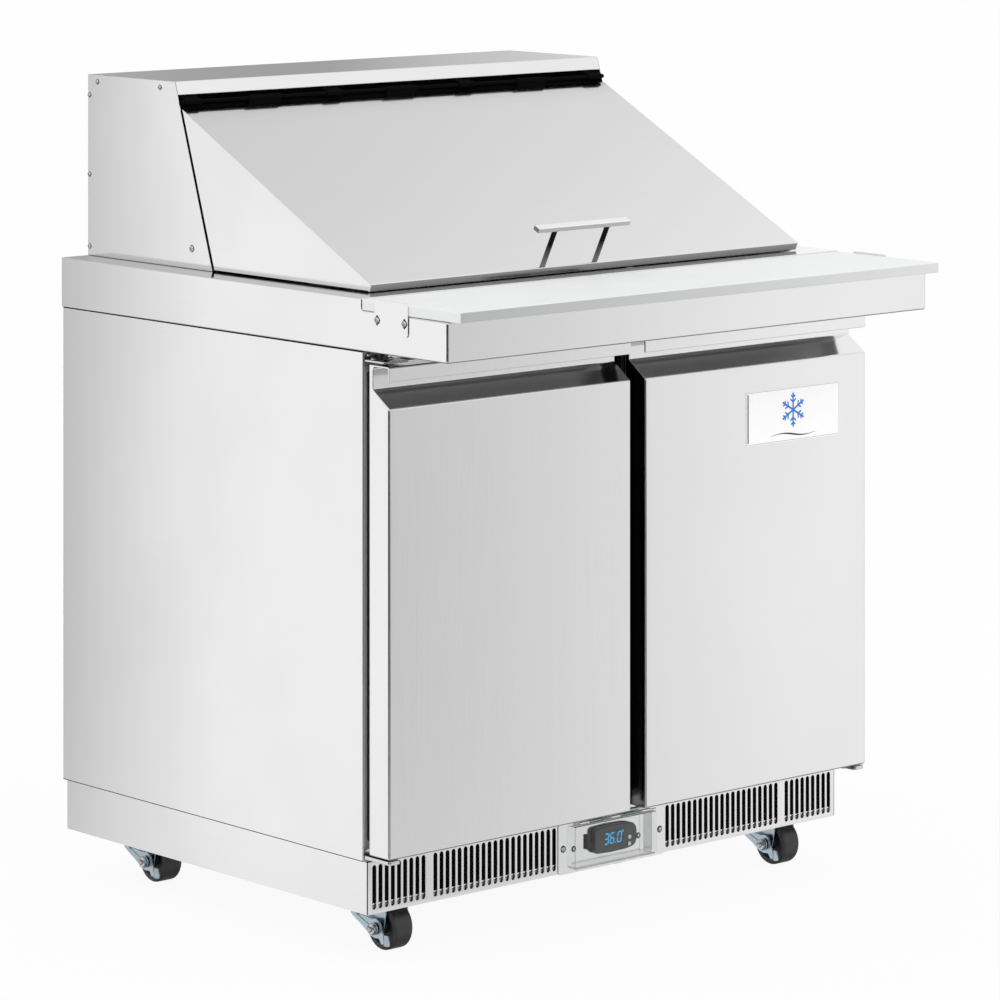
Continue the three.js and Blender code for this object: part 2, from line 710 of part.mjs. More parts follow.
// Each hinge: leaf, upright flange behind it and pin.
const HINGE_FLANGE_Y = [-245.6, -244.1];
const upperHinge = () => join(
  box([-461, -418], [-290, -244.1], [823.2, 826]),
  box([-461, -418], HINGE_FLANGE_Y, [823.2, 836.4]),
  pivotRod([818.5, 824]),
);
const lowerHinge = () => join(
  box([-461.2, -441], [-299, -244.1], [143.9, 149.4]),
  box([-461.2, -418], HINGE_FLANGE_Y, [140.4, 149.4]),
  pivotRod([148, 162]),
);

const doors = addGroup();
addPairs(doors, [
  ["door_skin", doorSkin(), steel],
  ["door_liner", doorLiner(), whitePlastic],
  ["door_gasket", doorGasket(), rubber],
]);
addPairs(doors, [
  ["upper_hinge", upperHinge(), steel],
  ["lower_hinge", lowerHinge(), steel],
]);

// ---------------------------------------------------------------- casters (origin on the axle)
function casterWheel() {
  const { radius, width } = WHEEL;
  const half = width / 2;
  // Columns: radius, distance along the axle.
  return solid(turned([
    [5, -half + 2], [20, -half + 2], [22, -half], [radius - 2.6, -half],
    [radius, -half + 3.6], [radius, half - 3.6], [radius - 2.6, half],
    [22, half], [20, half - 2], [5, half - 2], [5, -half + 2],
  ], 20).rotateZ(Math.PI / 2));
}

// Two cheeks, top plate, swivel, axle, and a hexagonal head on each end of the axle.
function casterFork() {
  // Columns: Y, Z.
  const cheek = [
    [-15, 36], [-15, 22], [-11, -2], [-6, -9], [6, -9], [12, -3], [42, 28], [44, 36],
  ];
  return join(
    alongX(cheek, [-20.6, -18.2]),
    alongX(cheek, [18.2, 20.6]),
    box([-20.6, 20.6], [-15, 44], [33.6, 36]),
    rodZ(0, CASTER.trail, [35.5, 41.3], 18, 16),
    rodX([-39, 25], 0, 0, 4, 10),
    rodX([-38, -30.6], 0, 0, 8.6, 6),
    rodX([20, 25], 0, 0, 8, 6),
  );
}

// Flat lever on the left end of the axle, with a small tab turned towards the wheel.
function brakeLever() {
  // Columns: Y, Z.
  const outline = [
    [-13, 2], [-10, 10], [-2, 14], [8, 12], [26, 14], [46, 22], [52, 20], [52, 12],
    [44, 8], [26, -1], [10, -11], [0, -13], [-9, -12], [-16, -24], [-25, -22], [-19, -10],
  ];
  const tab = box([-26.4, -17.6], [-24.6, -16.5], [-23, -20.2]);
  return cut(join(alongX(outline, [-27.6, -25]), tab), rodX([-40, -15], 0, 0, 4.7));
}

for (const [end, y] of [["front", CASTER.frontY], ["rear", CASTER.rearY]])
  for (const [side, x] of [["left", -CASTER.x], ["right", CASTER.x]]) {
    const caster = addGroup();
    caster.position.set(x, y, WHEEL.radius);
    addPiece(caster, `${end}_${side}_caster_fork`, casterFork(), zinc);
    addPiece(caster, `${end}_${side}_caster_wheel`, casterWheel(), tread);
    addPiece(caster, `${end}_${side}_brake_lever`, brakeLever(), zinc);
  }

export default table;
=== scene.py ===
# Looks for the sandwich prep table: every piece rides on its CAD body, positions come from the frame.
import math
import random

import bmesh
import bpy
import numpy as np
from mathutils import Matrix, Vector, geometry


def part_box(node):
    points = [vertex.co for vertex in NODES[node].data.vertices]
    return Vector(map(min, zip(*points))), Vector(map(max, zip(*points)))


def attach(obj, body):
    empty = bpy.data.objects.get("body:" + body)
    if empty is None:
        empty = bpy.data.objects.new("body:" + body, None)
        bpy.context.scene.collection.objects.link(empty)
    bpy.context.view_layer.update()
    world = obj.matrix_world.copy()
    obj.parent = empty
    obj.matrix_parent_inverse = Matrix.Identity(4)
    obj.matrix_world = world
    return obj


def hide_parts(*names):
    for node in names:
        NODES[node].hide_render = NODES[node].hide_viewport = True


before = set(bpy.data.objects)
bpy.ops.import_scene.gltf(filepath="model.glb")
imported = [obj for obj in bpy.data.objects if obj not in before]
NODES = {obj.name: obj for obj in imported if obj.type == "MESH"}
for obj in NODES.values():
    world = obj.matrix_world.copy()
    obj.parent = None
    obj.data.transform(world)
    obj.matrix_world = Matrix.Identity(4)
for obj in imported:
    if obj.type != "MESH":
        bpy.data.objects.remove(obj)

random.seed(7)
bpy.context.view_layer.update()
SC = bpy.context.scene
MM = 0.001


def nb(name):
    """A node's box in millimetres: x0, x1, y0, y1, z0, z1."""
    lo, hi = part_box(name)
    return lo.x / MM, hi.x / MM, lo.y / MM, hi.y / MM, lo.z / MM, hi.z / MM


# ------------------------------------------------------------------ materials
def new_mat(name):
    m = bpy.data.materials.new(name)
    m.use_nodes = True
    nt = m.node_tree
    nt.nodes.clear()
    out = nt.nodes.new("ShaderNodeOutputMaterial")
    bs = nt.nodes.new("ShaderNodeBsdfPrincipled")
    nt.links.new(bs.outputs[0], out.inputs[0])
    return m, nt, bs


def coords(nt, scale, rot=(0, 0, 0)):
    tc = nt.nodes.new("ShaderNodeTexCoord")
    mp = nt.nodes.new("ShaderNodeMapping")
    mp.inputs["Scale"].default_value = scale
    mp.inputs["Rotation"].default_value = rot
    nt.links.new(tc.outputs["Object"], mp.inputs["Vector"])
    return mp.outputs[0]


def noise(nt, vec, scale, detail=2.0, rough=0.5):
    n = nt.nodes.new("ShaderNodeTexNoise")
    n.inputs["Scale"].default_value = scale
    n.inputs["Detail"].default_value = detail
    n.inputs["Roughness"].default_value = rough
    nt.links.new(vec, n.inputs["Vector"])
    return n.outputs["Fac"]


def remap(nt, val, a, b, c, d):
    r = nt.nodes.new("ShaderNodeMapRange")
    r.clamp = True
    for i, x in zip(("From Min", "From Max", "To Min", "To Max"), (a, b, c, d)):
        r.inputs[i].default_value = x
    nt.links.new(val, r.inputs["Value"])
    return r.outputs[0]


def math_node(nt, op, a, b=None):
    m = nt.nodes.new("ShaderNodeMath")
    m.operation = op
    for i, x in enumerate((a, b)):
        if x is None:
            continue
        if isinstance(x, (int, float)):
            m.inputs[i].default_value = x
        else:
            nt.links.new(x, m.inputs[i])
    return m.outputs[0]


def tint(nt, val, lo_rgb, hi_rgb):
    r = nt.nodes.new("ShaderNodeValToRGB")
    r.color_ramp.elements[0].color = (*lo_rgb, 1)
    r.color_ramp.elements[1].color = (*hi_rgb, 1)
    nt.links.new(val, r.inputs[0])
    return r.outputs[0]


def bump(nt, bs, height, strength, dist):
    b = nt.nodes.new("ShaderNodeBump")
    b.inputs["Strength"].default_value = strength
    b.inputs["Distance"].default_value = dist
    nt.links.new(height, b.inputs["Height"])
    nt.links.new(b.outputs[0], bs.inputs["Normal"])
    return b


GRAIN = {"z": (1.0, 1.0, 0.006), "x": (0.006, 1.0, 1.0), "y": (1.0, 0.006, 1.0)}


# Mask for painted shade on the worktop: faces that point up.
def facing_up(nt):
    g = nt.nodes.new("ShaderNodeNewGeometry")
    sn = nt.nodes.new("ShaderNodeSeparateXYZ")
    nt.links.new(g.outputs["Normal"], sn.inputs[0])
    return remap(nt, sn.outputs[2], 0.4, 0.7, 0, 1)


# Mask for painted shade on the lid: the upper part of the slope, below the hinge.
def hinge_shade_zone(nt):
    sp = nt.nodes.new("ShaderNodeSeparateXYZ")
    nt.links.new(coords(nt, (1, 1, 1)), sp.inputs[0])
    return remap(nt, sp.outputs[2], 1.085, 1.10, 0, 1)


def steel(name, grain="z", base=0.80, rough=0.13, strength=0.035, tone=(1.0, 1.0, 1.0), reach=0.0, curve=(0.12, 0.92, 1.3), shade_zone=None):
    """Brushed stainless sheet: fine grain along one axis, faint smudges and uneven polish.
    reach is how far (m) ambient occlusion darkens the base colour near gaps and neighbouring parts (painted shade);
    curve shapes that darkening, and an optional mask limits where it falls."""
    m, nt, bs = new_mat(name)
    g = coords(nt, GRAIN[grain])
    fine = noise(nt, g, 2600, 2, 0.6)
    mid = noise(nt, g, 700, 2, 0.5)
    smudge = noise(nt, coords(nt, (1, 1, 1)), 3.5, 3, 0.55)
    grainv = math_node(nt, "ADD", math_node(nt, "MULTIPLY", fine, 0.7), math_node(nt, "MULTIPLY", mid, 0.3))
    lo = tuple(base * 0.978 * t for t in tone)
    hi = tuple(base * 1.014 * t for t in tone)
    col = tint(nt, remap(nt, grainv, 0.35, 0.65, 0, 1), lo, hi)
    # Painted shade: the base colour is multiplied by an ambient-occlusion ramp.
    if reach:
        ao = nt.nodes.new("ShaderNodeAmbientOcclusion")
        ao.samples = 2
        ao.inputs["Distance"].default_value = reach
        f = math_node(nt, "POWER", remap(nt, ao.outputs["AO"], curve[0], curve[1], 0, 1), curve[2])
        if shade_zone:
            f = math_node(nt, "SUBTRACT", 1.0, math_node(nt, "MULTIPLY", shade_zone(nt), math_node(nt, "SUBTRACT", 1.0, f)))
        mul = nt.nodes.new("ShaderNodeVectorMath")
        mul.operation = "MULTIPLY"
        nt.links.new(col, mul.inputs[0])
        nt.links.new(f, mul.inputs[1])
        col = mul.outputs[0]
    nt.links.new(col, bs.inputs["Base Color"])
    r1 = remap(nt, grainv, 0.3, 0.7, rough - 0.02, rough + 0.02)
    r2 = remap(nt, smudge, 0.35, 0.7, -0.008, 0.012)
    nt.links.new(math_node(nt, "ADD", r1, r2), bs.inputs["Roughness"])
    bs.inputs["Metallic"].default_value = 1.0
    bump(nt, bs, fine, strength, 0.000006)
    return m


def plain_metal(name, rgb, rough=0.3, spangle=40, metallic=1.0, amount=0.12):
    """Plated or cast metal: cell-like spangle in colour and polish, fine pitting."""
    m, nt, bs = new_mat(name)
    v = coords(nt, (1, 1, 1))
    n1 = noise(nt, v, spangle, 3, 0.6)
    n2 = noise(nt, v, 900, 2, 0.5)
    lo = tuple(c * (1 - amount) for c in rgb)
    hi = tuple(min(1, c * (1 + amount)) for c in rgb)
    nt.links.new(tint(nt, remap(nt, n1, 0.3, 0.7, 0, 1), lo, hi), bs.inputs["Base Color"])
    nt.links.new(remap(nt, n1, 0.3, 0.7, rough - 0.06, rough + 0.08), bs.inputs["Roughness"])
    bs.inputs["Metallic"].default_value = metallic
    bump(nt, bs, n2, 0.12, 0.0001)
    return m


def plastic(name, rgb, rough=0.45, grain=700, amount=0.04, depth=0.00012, strength=0.25, coat=0.0, sheen=0.0, spec=0.5, glow_lift=0.0):
    """Moulded plastic or rubber: fine spark-erosion grain, slow tone drift."""
    m, nt, bs = new_mat(name)
    v = coords(nt, (1, 1, 1))
    n1 = noise(nt, v, 9, 3, 0.55)
    n2 = noise(nt, v, grain, 2, 0.6)
    lo = tuple(c * (1 - amount) for c in rgb)
    hi = tuple(min(1, c * (1 + amount)) for c in rgb)
    nt.links.new(tint(nt, remap(nt, n1, 0.3, 0.7, 0, 1), lo, hi), bs.inputs["Base Color"])
    nt.links.new(math_node(nt, "ADD", remap(nt, n1, 0.3, 0.7, rough - 0.04, rough + 0.05),
                           remap(nt, n2, 0.3, 0.7, -0.02, 0.02)), bs.inputs["Roughness"])
    bs.inputs["Coat Weight"].default_value = coat
    bs.inputs["Sheen Weight"].default_value = sheen
    bs.inputs["Specular IOR Level"].default_value = spec
    # Emission in the part's own colour makes it glow: painted light.
    if glow_lift:
        bs.inputs["Emission Color"].default_value = (*rgb, 1)
        bs.inputs["Emission Strength"].default_value = glow_lift
    bump(nt, bs, n2, strength, depth)
    return m


def post_material():
    """Polished post with painted shade: base colour almost black under the bar, lighter towards the lid."""
    m, nt, bs = new_mat("handle_post_painted_shade")
    v = coords(nt, (1, 1, 1))
    sp = nt.nodes.new("ShaderNodeSeparateXYZ")
    nt.links.new(v, sp.inputs[0])
    n1 = noise(nt, coords(nt, (1, 1, 0.05)), 900, 2, 0.5)
    h = math_node(nt, "ADD", remap(nt, sp.outputs[2], 0.920, 0.955, 0, 1), math_node(nt, "MULTIPLY", n1, 0.06))
    nt.links.new(tint(nt, h, (0.26, 0.26, 0.265), (0.010, 0.010, 0.011)), bs.inputs["Base Color"])
    nt.links.new(remap(nt, n1, 0.3, 0.7, 0.2, 0.28), bs.inputs["Roughness"])
    bs.inputs["Metallic"].default_value = 1.0
    return m


def board_material():
    """White polyethylene: matt orange-peel top with faint criss-cross knife marks."""
    m, nt, bs = new_mat("cutting_board_polyethylene")
    v = coords(nt, (1, 1, 1))
    peel = noise(nt, v, 900, 2, 0.5)
    slow = noise(nt, v, 6, 3, 0.5)
    cuts = noise(nt, coords(nt, (0.02, 1, 1), (0, 0, 0.5)), 420, 1, 0.4)
    cuts2 = noise(nt, coords(nt, (1, 0.02, 1), (0, 0, 0.3)), 380, 1, 0.4)
    marks = math_node(nt, "MAXIMUM", remap(nt, cuts, 0.66, 0.72, 0, 1), remap(nt, cuts2, 0.67, 0.73, 0, 1))
    col = tint(nt, remap(nt, slow, 0.3, 0.7, 0, 1), (0.80, 0.815, 0.81), (0.84, 0.85, 0.85))
    # Painted shade: the front edge's base colour is darkened, most of all towards the left end.
    geo = nt.nodes.new("ShaderNodeNewGeometry")
    sn = nt.nodes.new("ShaderNodeSeparateXYZ")
    nt.links.new(geo.outputs["Normal"], sn.inputs[0])
    sp = nt.nodes.new("ShaderNodeSeparateXYZ")
    nt.links.new(v, sp.inputs[0])
    front = remap(nt, sn.outputs[1], -0.95, -0.6, 1, 0)
    front_shade_ramp = remap(nt, sp.outputs[0], -0.46, 0.46, 0.535, 0.92)
    k = math_node(nt, "ADD", math_node(nt, "MULTIPLY", front, math_node(nt, "SUBTRACT", front_shade_ramp, 1.0)), 1.0)
    mul = nt.nodes.new("ShaderNodeVectorMath")
    mul.operation = "MULTIPLY"
    nt.links.new(col, mul.inputs[0])
    nt.links.new(k, mul.inputs[1])
    nt.links.new(mul.outputs[0], bs.inputs["Base Color"])
    nt.links.new(math_node(nt, "ADD", remap(nt, peel, 0.3, 0.7, 0.42, 0.5), math_node(nt, "MULTIPLY", marks, 0.06)),
                 bs.inputs["Roughness"])
    bs.inputs["Subsurface Weight"].default_value = 0.0
    h = math_node(nt, "SUBTRACT", math_node(nt, "MULTIPLY", peel, 0.5), math_node(nt, "MULTIPLY", marks, 0.35))
    bump(nt, bs, h, 0.18, 0.00012)
    return m


def glass_material(name="clear_polycarbonate", tint=0.992):
    """Clear polycarbonate flap: thin, slightly scuffed."""
    m, nt, bs = new_mat(name)
    v = coords(nt, (1, 1, 1))
    n1 = noise(nt, v, 60, 3, 0.6)
    nt.links.new(remap(nt, n1, 0.35, 0.75, 0.02, 0.07), bs.inputs["Roughness"])
    bs.inputs["Base Color"].default_value = (0.97, 0.985, 0.985, 1)
    bs.inputs["IOR"].default_value = 1.18
    bs.inputs["Transmission Weight"].default_value = 0.0
    out = next(n for n in nt.nodes if n.type == "OUTPUT_MATERIAL")
    tr = nt.nodes.new("ShaderNodeBsdfTransparent")
    tr.inputs[0].default_value = (tint, tint + 0.003, tint + 0.003, 1)
    gl = nt.nodes.new("ShaderNodeBsdfGlossy")
    nt.links.new(remap(nt, n1, 0.35, 0.75, 0.03, 0.09), gl.inputs["Roughness"])
    fr = nt.nodes.new("ShaderNodeFresnel")
    fr.inputs[0].default_value = 1.2
    mx = nt.nodes.new("ShaderNodeMixShader")
    nt.links.new(fr.outputs[0], mx.inputs[0])
    nt.links.new(tr.outputs[0], mx.inputs[1])
    nt.links.new(gl.outputs[0], mx.inputs[2])
    nt.links.new(mx.outputs[0], out.inputs[0])
    return m


def glow(name, rgb, power):
    m, nt, bs = new_mat(name)
    v = coords(nt, (1, 1, 1))
    n1 = noise(nt, v, 2500, 1, 0.5)
    nt.links.new(tint(nt, n1, tuple(c * 0.92 for c in rgb), rgb), bs.inputs["Emission Color"])
    nt.links.new(tint(nt, n1, tuple(c * 0.92 for c in rgb), rgb), bs.inputs["Base Color"])
    bs.inputs["Emission Strength"].default_value = power
    bs.inputs["Roughness"].default_value = 0.3
    return m


M = {
    "steel_v": steel("brushed_steel_vertical", "z"),
    "steel_x": steel("brushed_steel_lengthwise", "x"),
    "steel_y": steel("brushed_steel_front_to_back", "y"),
    # Lid, hood, worktop and hinge steels darken their base colour by ambient occlusion: painted shade near the hinge,
    # gaps and contacts.
    "steel_lid": steel("brushed_steel_lid", "x", reach=0.06, curve=(0.36, 0.99, 1.15), shade_zone=hinge_shade_zone),
    # A darker copy of the lid steel for its front lip: painted shade.
    "lip_shade_steel": steel("brushed_steel_shaded_lid_lip", "x", 0.32, 0.16),
    "steel_hood": steel("brushed_steel_hood", "z", reach=0.004, curve=(-0.8, 0.92, 0.6)),
    "steel_top": steel("brushed_steel_worktop", "y", reach=0.010, curve=(-0.7, 1.0, 0.8), shade_zone=facing_up),
    "steel_hinge": steel("brushed_steel_hinge", "x", 0.7, 0.16, reach=0.03, curve=(0.35, 1.0, 1.6)),
    # Lit and shaded copies of the steel for the handle bar and the door ends: painted light and shade.
    "edge_shade_steel": steel("brushed_steel_shaded_bar_edge", "x", 0.50, 0.16),
    "end_shade_steel": steel("brushed_steel_shaded_end_face", "z", 0.22, 0.16),
    "post": post_material(),
    # Dark lining colour for the door pull recess: painted shade.
    "pull": plain_metal("door_pull_recess_shade", (0.275, 0.277, 0.28), 0.38, 30, 1.0, 0.05),
    "filter": plastic("intake_filter_mesh", (0.004, 0.004, 0.004), 0.9, 900, 0.2, 0.0003, 0.5, spec=0.1),
    "flange": plain_metal("plinth_flange", (0.30, 0.305, 0.31), 0.32, 60, 1.0, 0.08),
    # Near-black washer under screw heads; it also paints the dark ring of shade round each head.
    "washer": plastic("black_ring_screw_shade", (0.008, 0.008, 0.008), 0.6, 900, 0.15, spec=0.2),
    "lit_top_steel": steel("brushed_steel_lit_bar_top", "x", 0.95, 0.14),
    "steel_rail": steel("brushed_steel_polished_strip", "x", 0.78, 0.12, 0.03),
    "pan": steel("pressed_pan_steel", "y", 0.74, 0.15, 0.03),
    "galv": plain_metal("galvanised_sheet", (0.62, 0.65, 0.67), 0.36, 55),
    "zinc": plain_metal("blue_zinc_plate", (0.50, 0.60, 0.67), 0.27, 120, 1.0, 0.10),
    "screw": plain_metal("plated_screw", (0.62, 0.62, 0.63), 0.17, 300, 1.0, 0.08),
    "nut": plain_metal("bright_nut", (0.60, 0.62, 0.64), 0.2, 200, 1.0, 0.08),
    "alu": plain_metal("aluminium_sheet", (0.76, 0.77, 0.78), 0.36, 24, 1.0, 0.05),
    "fin": plain_metal("aluminium_fins", (0.72, 0.73, 0.74), 0.33, 60, 1.0, 0.08),
    "copper": plain_metal("copper_tube", (0.72, 0.38, 0.22), 0.28, 60, 1.0, 0.12),
    "black_metal": plain_metal("black_enamel", (0.022, 0.023, 0.025), 0.36, 30, 0.0, 0.2),
    "rubber": plastic("gasket_vinyl", (0.018, 0.018, 0.019), 0.55, 600, 0.15),
    # Near-black and non-reflective: the hinge rod, knuckles and the sheet behind the lid read as the black shade of the
    # gap under the hood (painted shade).
    "hinge": plastic("hinge_black_gap_shade", (0.003, 0.003, 0.003), 0.8, 600, 0.2, spec=0.04),
    # Near-black, non-reflective fill for strips in gaps and seams: it paints the shade of those gaps.
    "seal": plastic("black_strip_gap_shade", (0.0015, 0.0015, 0.0015), 0.95, 600, 0.2, spec=0.0),
    "tread": plastic("caster_tread", (0.030, 0.030, 0.031), 0.42, 500, 0.2, 0.0001, 0.3),
    "core": plastic("caster_core", (0.012, 0.012, 0.012), 0.5, 400, 0.2),
    "white": plastic("white_moulding", (0.80, 0.81, 0.80), 0.4, 500, 0.02),
    "foam": plastic("rigid_foam", (0.72, 0.64, 0.42), 0.85, 260, 0.1, 0.0006, 0.6),
    "case": plastic("controller_case", (0.085, 0.086, 0.088), 0.42, 1500, 0.06, 0.00005, 0.2),
    "case_dark": plastic("controller_clip", (0.03, 0.03, 0.031), 0.45, 1200, 0.1, 0.00005, 0.2),
    "fanblade": plastic("fan_blade_plastic", (0.04, 0.042, 0.045), 0.4, 700, 0.1),
    "button": plastic("button_white", (0.83, 0.83, 0.83), 0.35, 900, 0.02),
    # The badge glows a little in its own colour (painted light).
    "badge": plastic("badge_enamel", (0.97, 0.97, 0.97), 0.3, 1200, 0.008, 0.00003, 0.1, glow_lift=0.12),
    "badge_mark": plastic("badge_mark_blue", (0.03, 0.22, 0.72), 0.3, 1200, 0.03, 0.00003, 0.1),
    "badge_bar": plastic("badge_bar_grey", (0.03, 0.031, 0.033), 0.4, 1200, 0.1, 0.00003, 0.1),
    "board": board_material(),
    "clear": glass_material(),
    # Darker see-through for the flap's edges: painted shade.
    "clear_edge": glass_material("clear_polycarbonate_shaded_edge", 0.30),
    "digits": glow("display_digits", (0.035, 0.35, 0.64), 0.85),
    "dark": plastic("dark_cavity_paint", (0.012, 0.012, 0.013), 0.7, 300, 0.2),
}


# ------------------------------------------------------------------ mesh helpers
def finish_mesh(o, mat, smooth_angle=None, weighted=True):
    if mat is not None:
        o.data.materials.clear()
        o.data.materials.append(M[mat] if isinstance(mat, str) else mat)
    if smooth_angle:
        for p in o.data.polygons:
            p.use_smooth = True
        o.data.set_sharp_from_angle(angle=math.radians(smooth_angle))
        if weighted:
            w = o.modifiers.new("weighted", "WEIGHTED_NORMAL")
            w.keep_sharp = True
            w.weight = 100
    return o


def obj_from_bm(bm, name, mat, smooth=35):
    bmesh.ops.recalc_face_normals(bm, faces=bm.faces[:])
    me = bpy.data.meshes.new(name)
    bm.to_mesh(me)
    bm.free()
    o = bpy.data.objects.new(name, me)
    SC.collection.objects.link(o)
    return finish_mesh(o, mat, smooth)


def to3(axis, a, b, t):
    """Point from in-plane coordinates a, b and the distance t along axis (all mm) to metres."""
    if axis == "x":
        return Vector((t, a, b)) * MM
    if axis == "y":
        return Vector((a, t, b)) * MM
    return Vector((a, b, t)) * MM


def bevel_bm(bm, r, seg=2, angle=28, only=None):
    edges = [e for e in bm.edges if len(e.link_faces) == 2 and e.calc_face_angle(0) > math.radians(angle)]
    if only:
        edges = [e for e in edges if only(e)]
    if edges:
        bmesh.ops.bevel(bm, geom=edges, offset=r * MM, segments=seg, profile=0.5, affect="EDGES", clamp_overlap=True)


def prism_bm(pts, axis, t0, t1, holes=()):
    """Outline (with holes) in the plane across axis, from t0 to t1."""
    bm = bmesh.new()
    loops = [list(pts)] + [list(h) for h in holes]
    rings = []
    for lp in loops:
        rings.append([[bm.verts.new(to3(axis, a, b, t)) for a, b in lp] for t in (t0, t1)])
    for r0, r1 in rings:
        n = len(r0)
        for i in range(n):
            bm.faces.new((r0[i], r0[(i + 1) % n], r1[(i + 1) % n], r1[i]))
    if holes:
        tess = geometry.tessellate_polygon([[Vector((a, b, 0)) for a, b in lp] for lp in loops])
        for side in (0, 1):
            flat = [v for r in rings for v in r[side]]
            for tri in tess:
                vs = [flat[i] for i in tri]
                if len(set(vs)) == 3:
                    try:
                        bm.faces.new(vs)
                    except ValueError:
                        pass
    else:
        for side in (0, 1):
            bm.faces.new(rings[0][side])
    bmesh.ops.recalc_face_normals(bm, faces=bm.faces[:])
    return bm


def prism(name, pts, axis, t0, t1, mat, bevel=0.0, seg=2, holes=(), smooth=35, only=None):
    bm = prism_bm(pts, axis, t0, t1, holes)
    if bevel:
        bevel_bm(bm, bevel, seg, only=only)
    return obj_from_bm(bm, name, mat, smooth)


def block(name, x0, x1, y0, y1, z0, z1, mat, bevel=0.6, seg=2):
    return prism(name, [(x0, y0), (x1, y0), (x1, y1), (x0, y1)], "z", z0, z1, mat, bevel, seg)


def rrect(a0, a1, b0, b1, r, n=5):
    pts = []
    for ca, cb, q in ((a1 - r, b1 - r, 0), (a0 + r, b1 - r, 1), (a0 + r, b0 + r, 2), (a1 - r, b0 + r, 3)):
        for i in range(n + 1):
            t = (q + i / n) * math.pi / 2
            pts.append((ca + r * math.cos(t), cb + r * math.sin(t)))
    return pts


def circle(ca, cb, r, n=24, start=0.0):
    return [(ca + r * math.cos(start + 2 * math.pi * i / n), cb + r * math.sin(start + 2 * math.pi * i / n)) for i in range(n)]


def lathe(name, profile, axis, centre, mat, n=48, smooth=35, closed=False):
    """profile: list of (radius, distance along axis) in mm, turned about axis through centre."""
    bm = bmesh.new()
    rows = []
    for r, h in profile:
        ring = []
        if r < 1e-6:
            ring = [bm.verts.new(to3(axis, *centre, h))] * n
        else:
            for i in range(n):
                t = 2 * math.pi * i / n
                ring.append(bm.verts.new(to3(axis, centre[0] + r * math.cos(t), centre[1] + r * math.sin(t), h)))
        rows.append(ring)
    pairs = list(zip(rows, rows[1:]))
    if closed:
        pairs.append((rows[-1], rows[0]))
    for a, b in pairs:
        for i in range(n):
            j = (i + 1) % n
            vs = []
            for v in (a[i], a[j], b[j], b[i]):
                if v not in vs:
                    vs.append(v)
            if len(vs) >= 3:
                bm.faces.new(vs)
    return obj_from_bm(bm, name, mat, smooth)


def fillet(pts, radii, n=5, closed=False):
    """Rounds the corners of a 2D polyline."""
    out = []
    m = len(pts)
    for i, p in enumerate(pts):
        r = radii[i] if isinstance(radii, (list, tuple)) else radii
        if (not closed and i in (0, m - 1)) or r <= 0:
            out.append(Vector(p))
            continue
        p0, p1, p2 = Vector(pts[(i - 1) % m]), Vector(p), Vector(pts[(i + 1) % m])
        d0, d2 = (p0 - p1).normalized(), (p2 - p1).normalized()
        ang = d0.angle(d2)
        if abs(math.pi - ang) < 0.02:
            out.append(p1)
            continue
        cut = min(r / math.tan(ang / 2), 0.49 * (p0 - p1).length, 0.49 * (p2 - p1).length)
        rr = cut * math.tan(ang / 2)
        c = p1 + (d0 + d2).normalized() * (rr / math.sin(ang / 2))
        a, b = p1 + d0 * cut - c, p1 + d2 * cut - c
        sweep = math.atan2(a.x * b.y - a.y * b.x, a.dot(b))
        for k in range(n + 1):
            t = sweep * k / n
            out.append(c + Vector((a.x * math.cos(t) - a.y * math.sin(t), a.x * math.sin(t) + a.y * math.cos(t))))
    return [(v.x, v.y) for v in out]


def offset_line(pts, d):
    """Open polyline moved sideways by d (to its left)."""
    out = []
    P = [Vector(p) for p in pts]
    for i, p in enumerate(P):
        ns = []
        if i > 0:
            e = (p - P[i - 1])
            if e.length > 1e-9:
                e.normalize()
                ns.append(Vector((-e.y, e.x)))
        if i + 1 < len(P):
            e = (P[i + 1] - p)
            if e.length > 1e-9:
                e.normalize()
                ns.append(Vector((-e.y, e.x)))
        n = sum(ns, Vector((0, 0)))
        n.normalize()
        k = 1 / max(0.3, n.dot(ns[0]))
        out.append((p.x + n.x * d * k, p.y + n.y * d * k))
    return out


def folded(name, pts, t, r, axis, t0, t1, mat, smooth=35, n=5):
    """Bent sheet: pts is the outer face line, the sheet thickness t lies to its left, outer bend radius r."""
    outer = fillet(pts, r, n)
    inner = offset_line(outer, t)
    bm = bmesh.new()
    A = [[bm.verts.new(to3(axis, a, b, tt)) for a, b in outer] for tt in (t0, t1)]
    B = [[bm.verts.new(to3(axis, a, b, tt)) for a, b in inner] for tt in (t0, t1)]
    m = len(outer)
    for i in range(m - 1):
        bm.faces.new((A[0][i], A[0][i + 1], A[1][i + 1], A[1][i]))
        bm.faces.new((B[0][i + 1], B[0][i], B[1][i], B[1][i + 1]))
        for s in (0, 1):
            bm.faces.new((A[s][i], A[s][i + 1], B[s][i + 1], B[s][i]))
    for i in (0, m - 1):
        bm.faces.new((A[0][i], A[1][i], B[1][i], B[0][i]))
    return obj_from_bm(bm, name, mat, smooth)


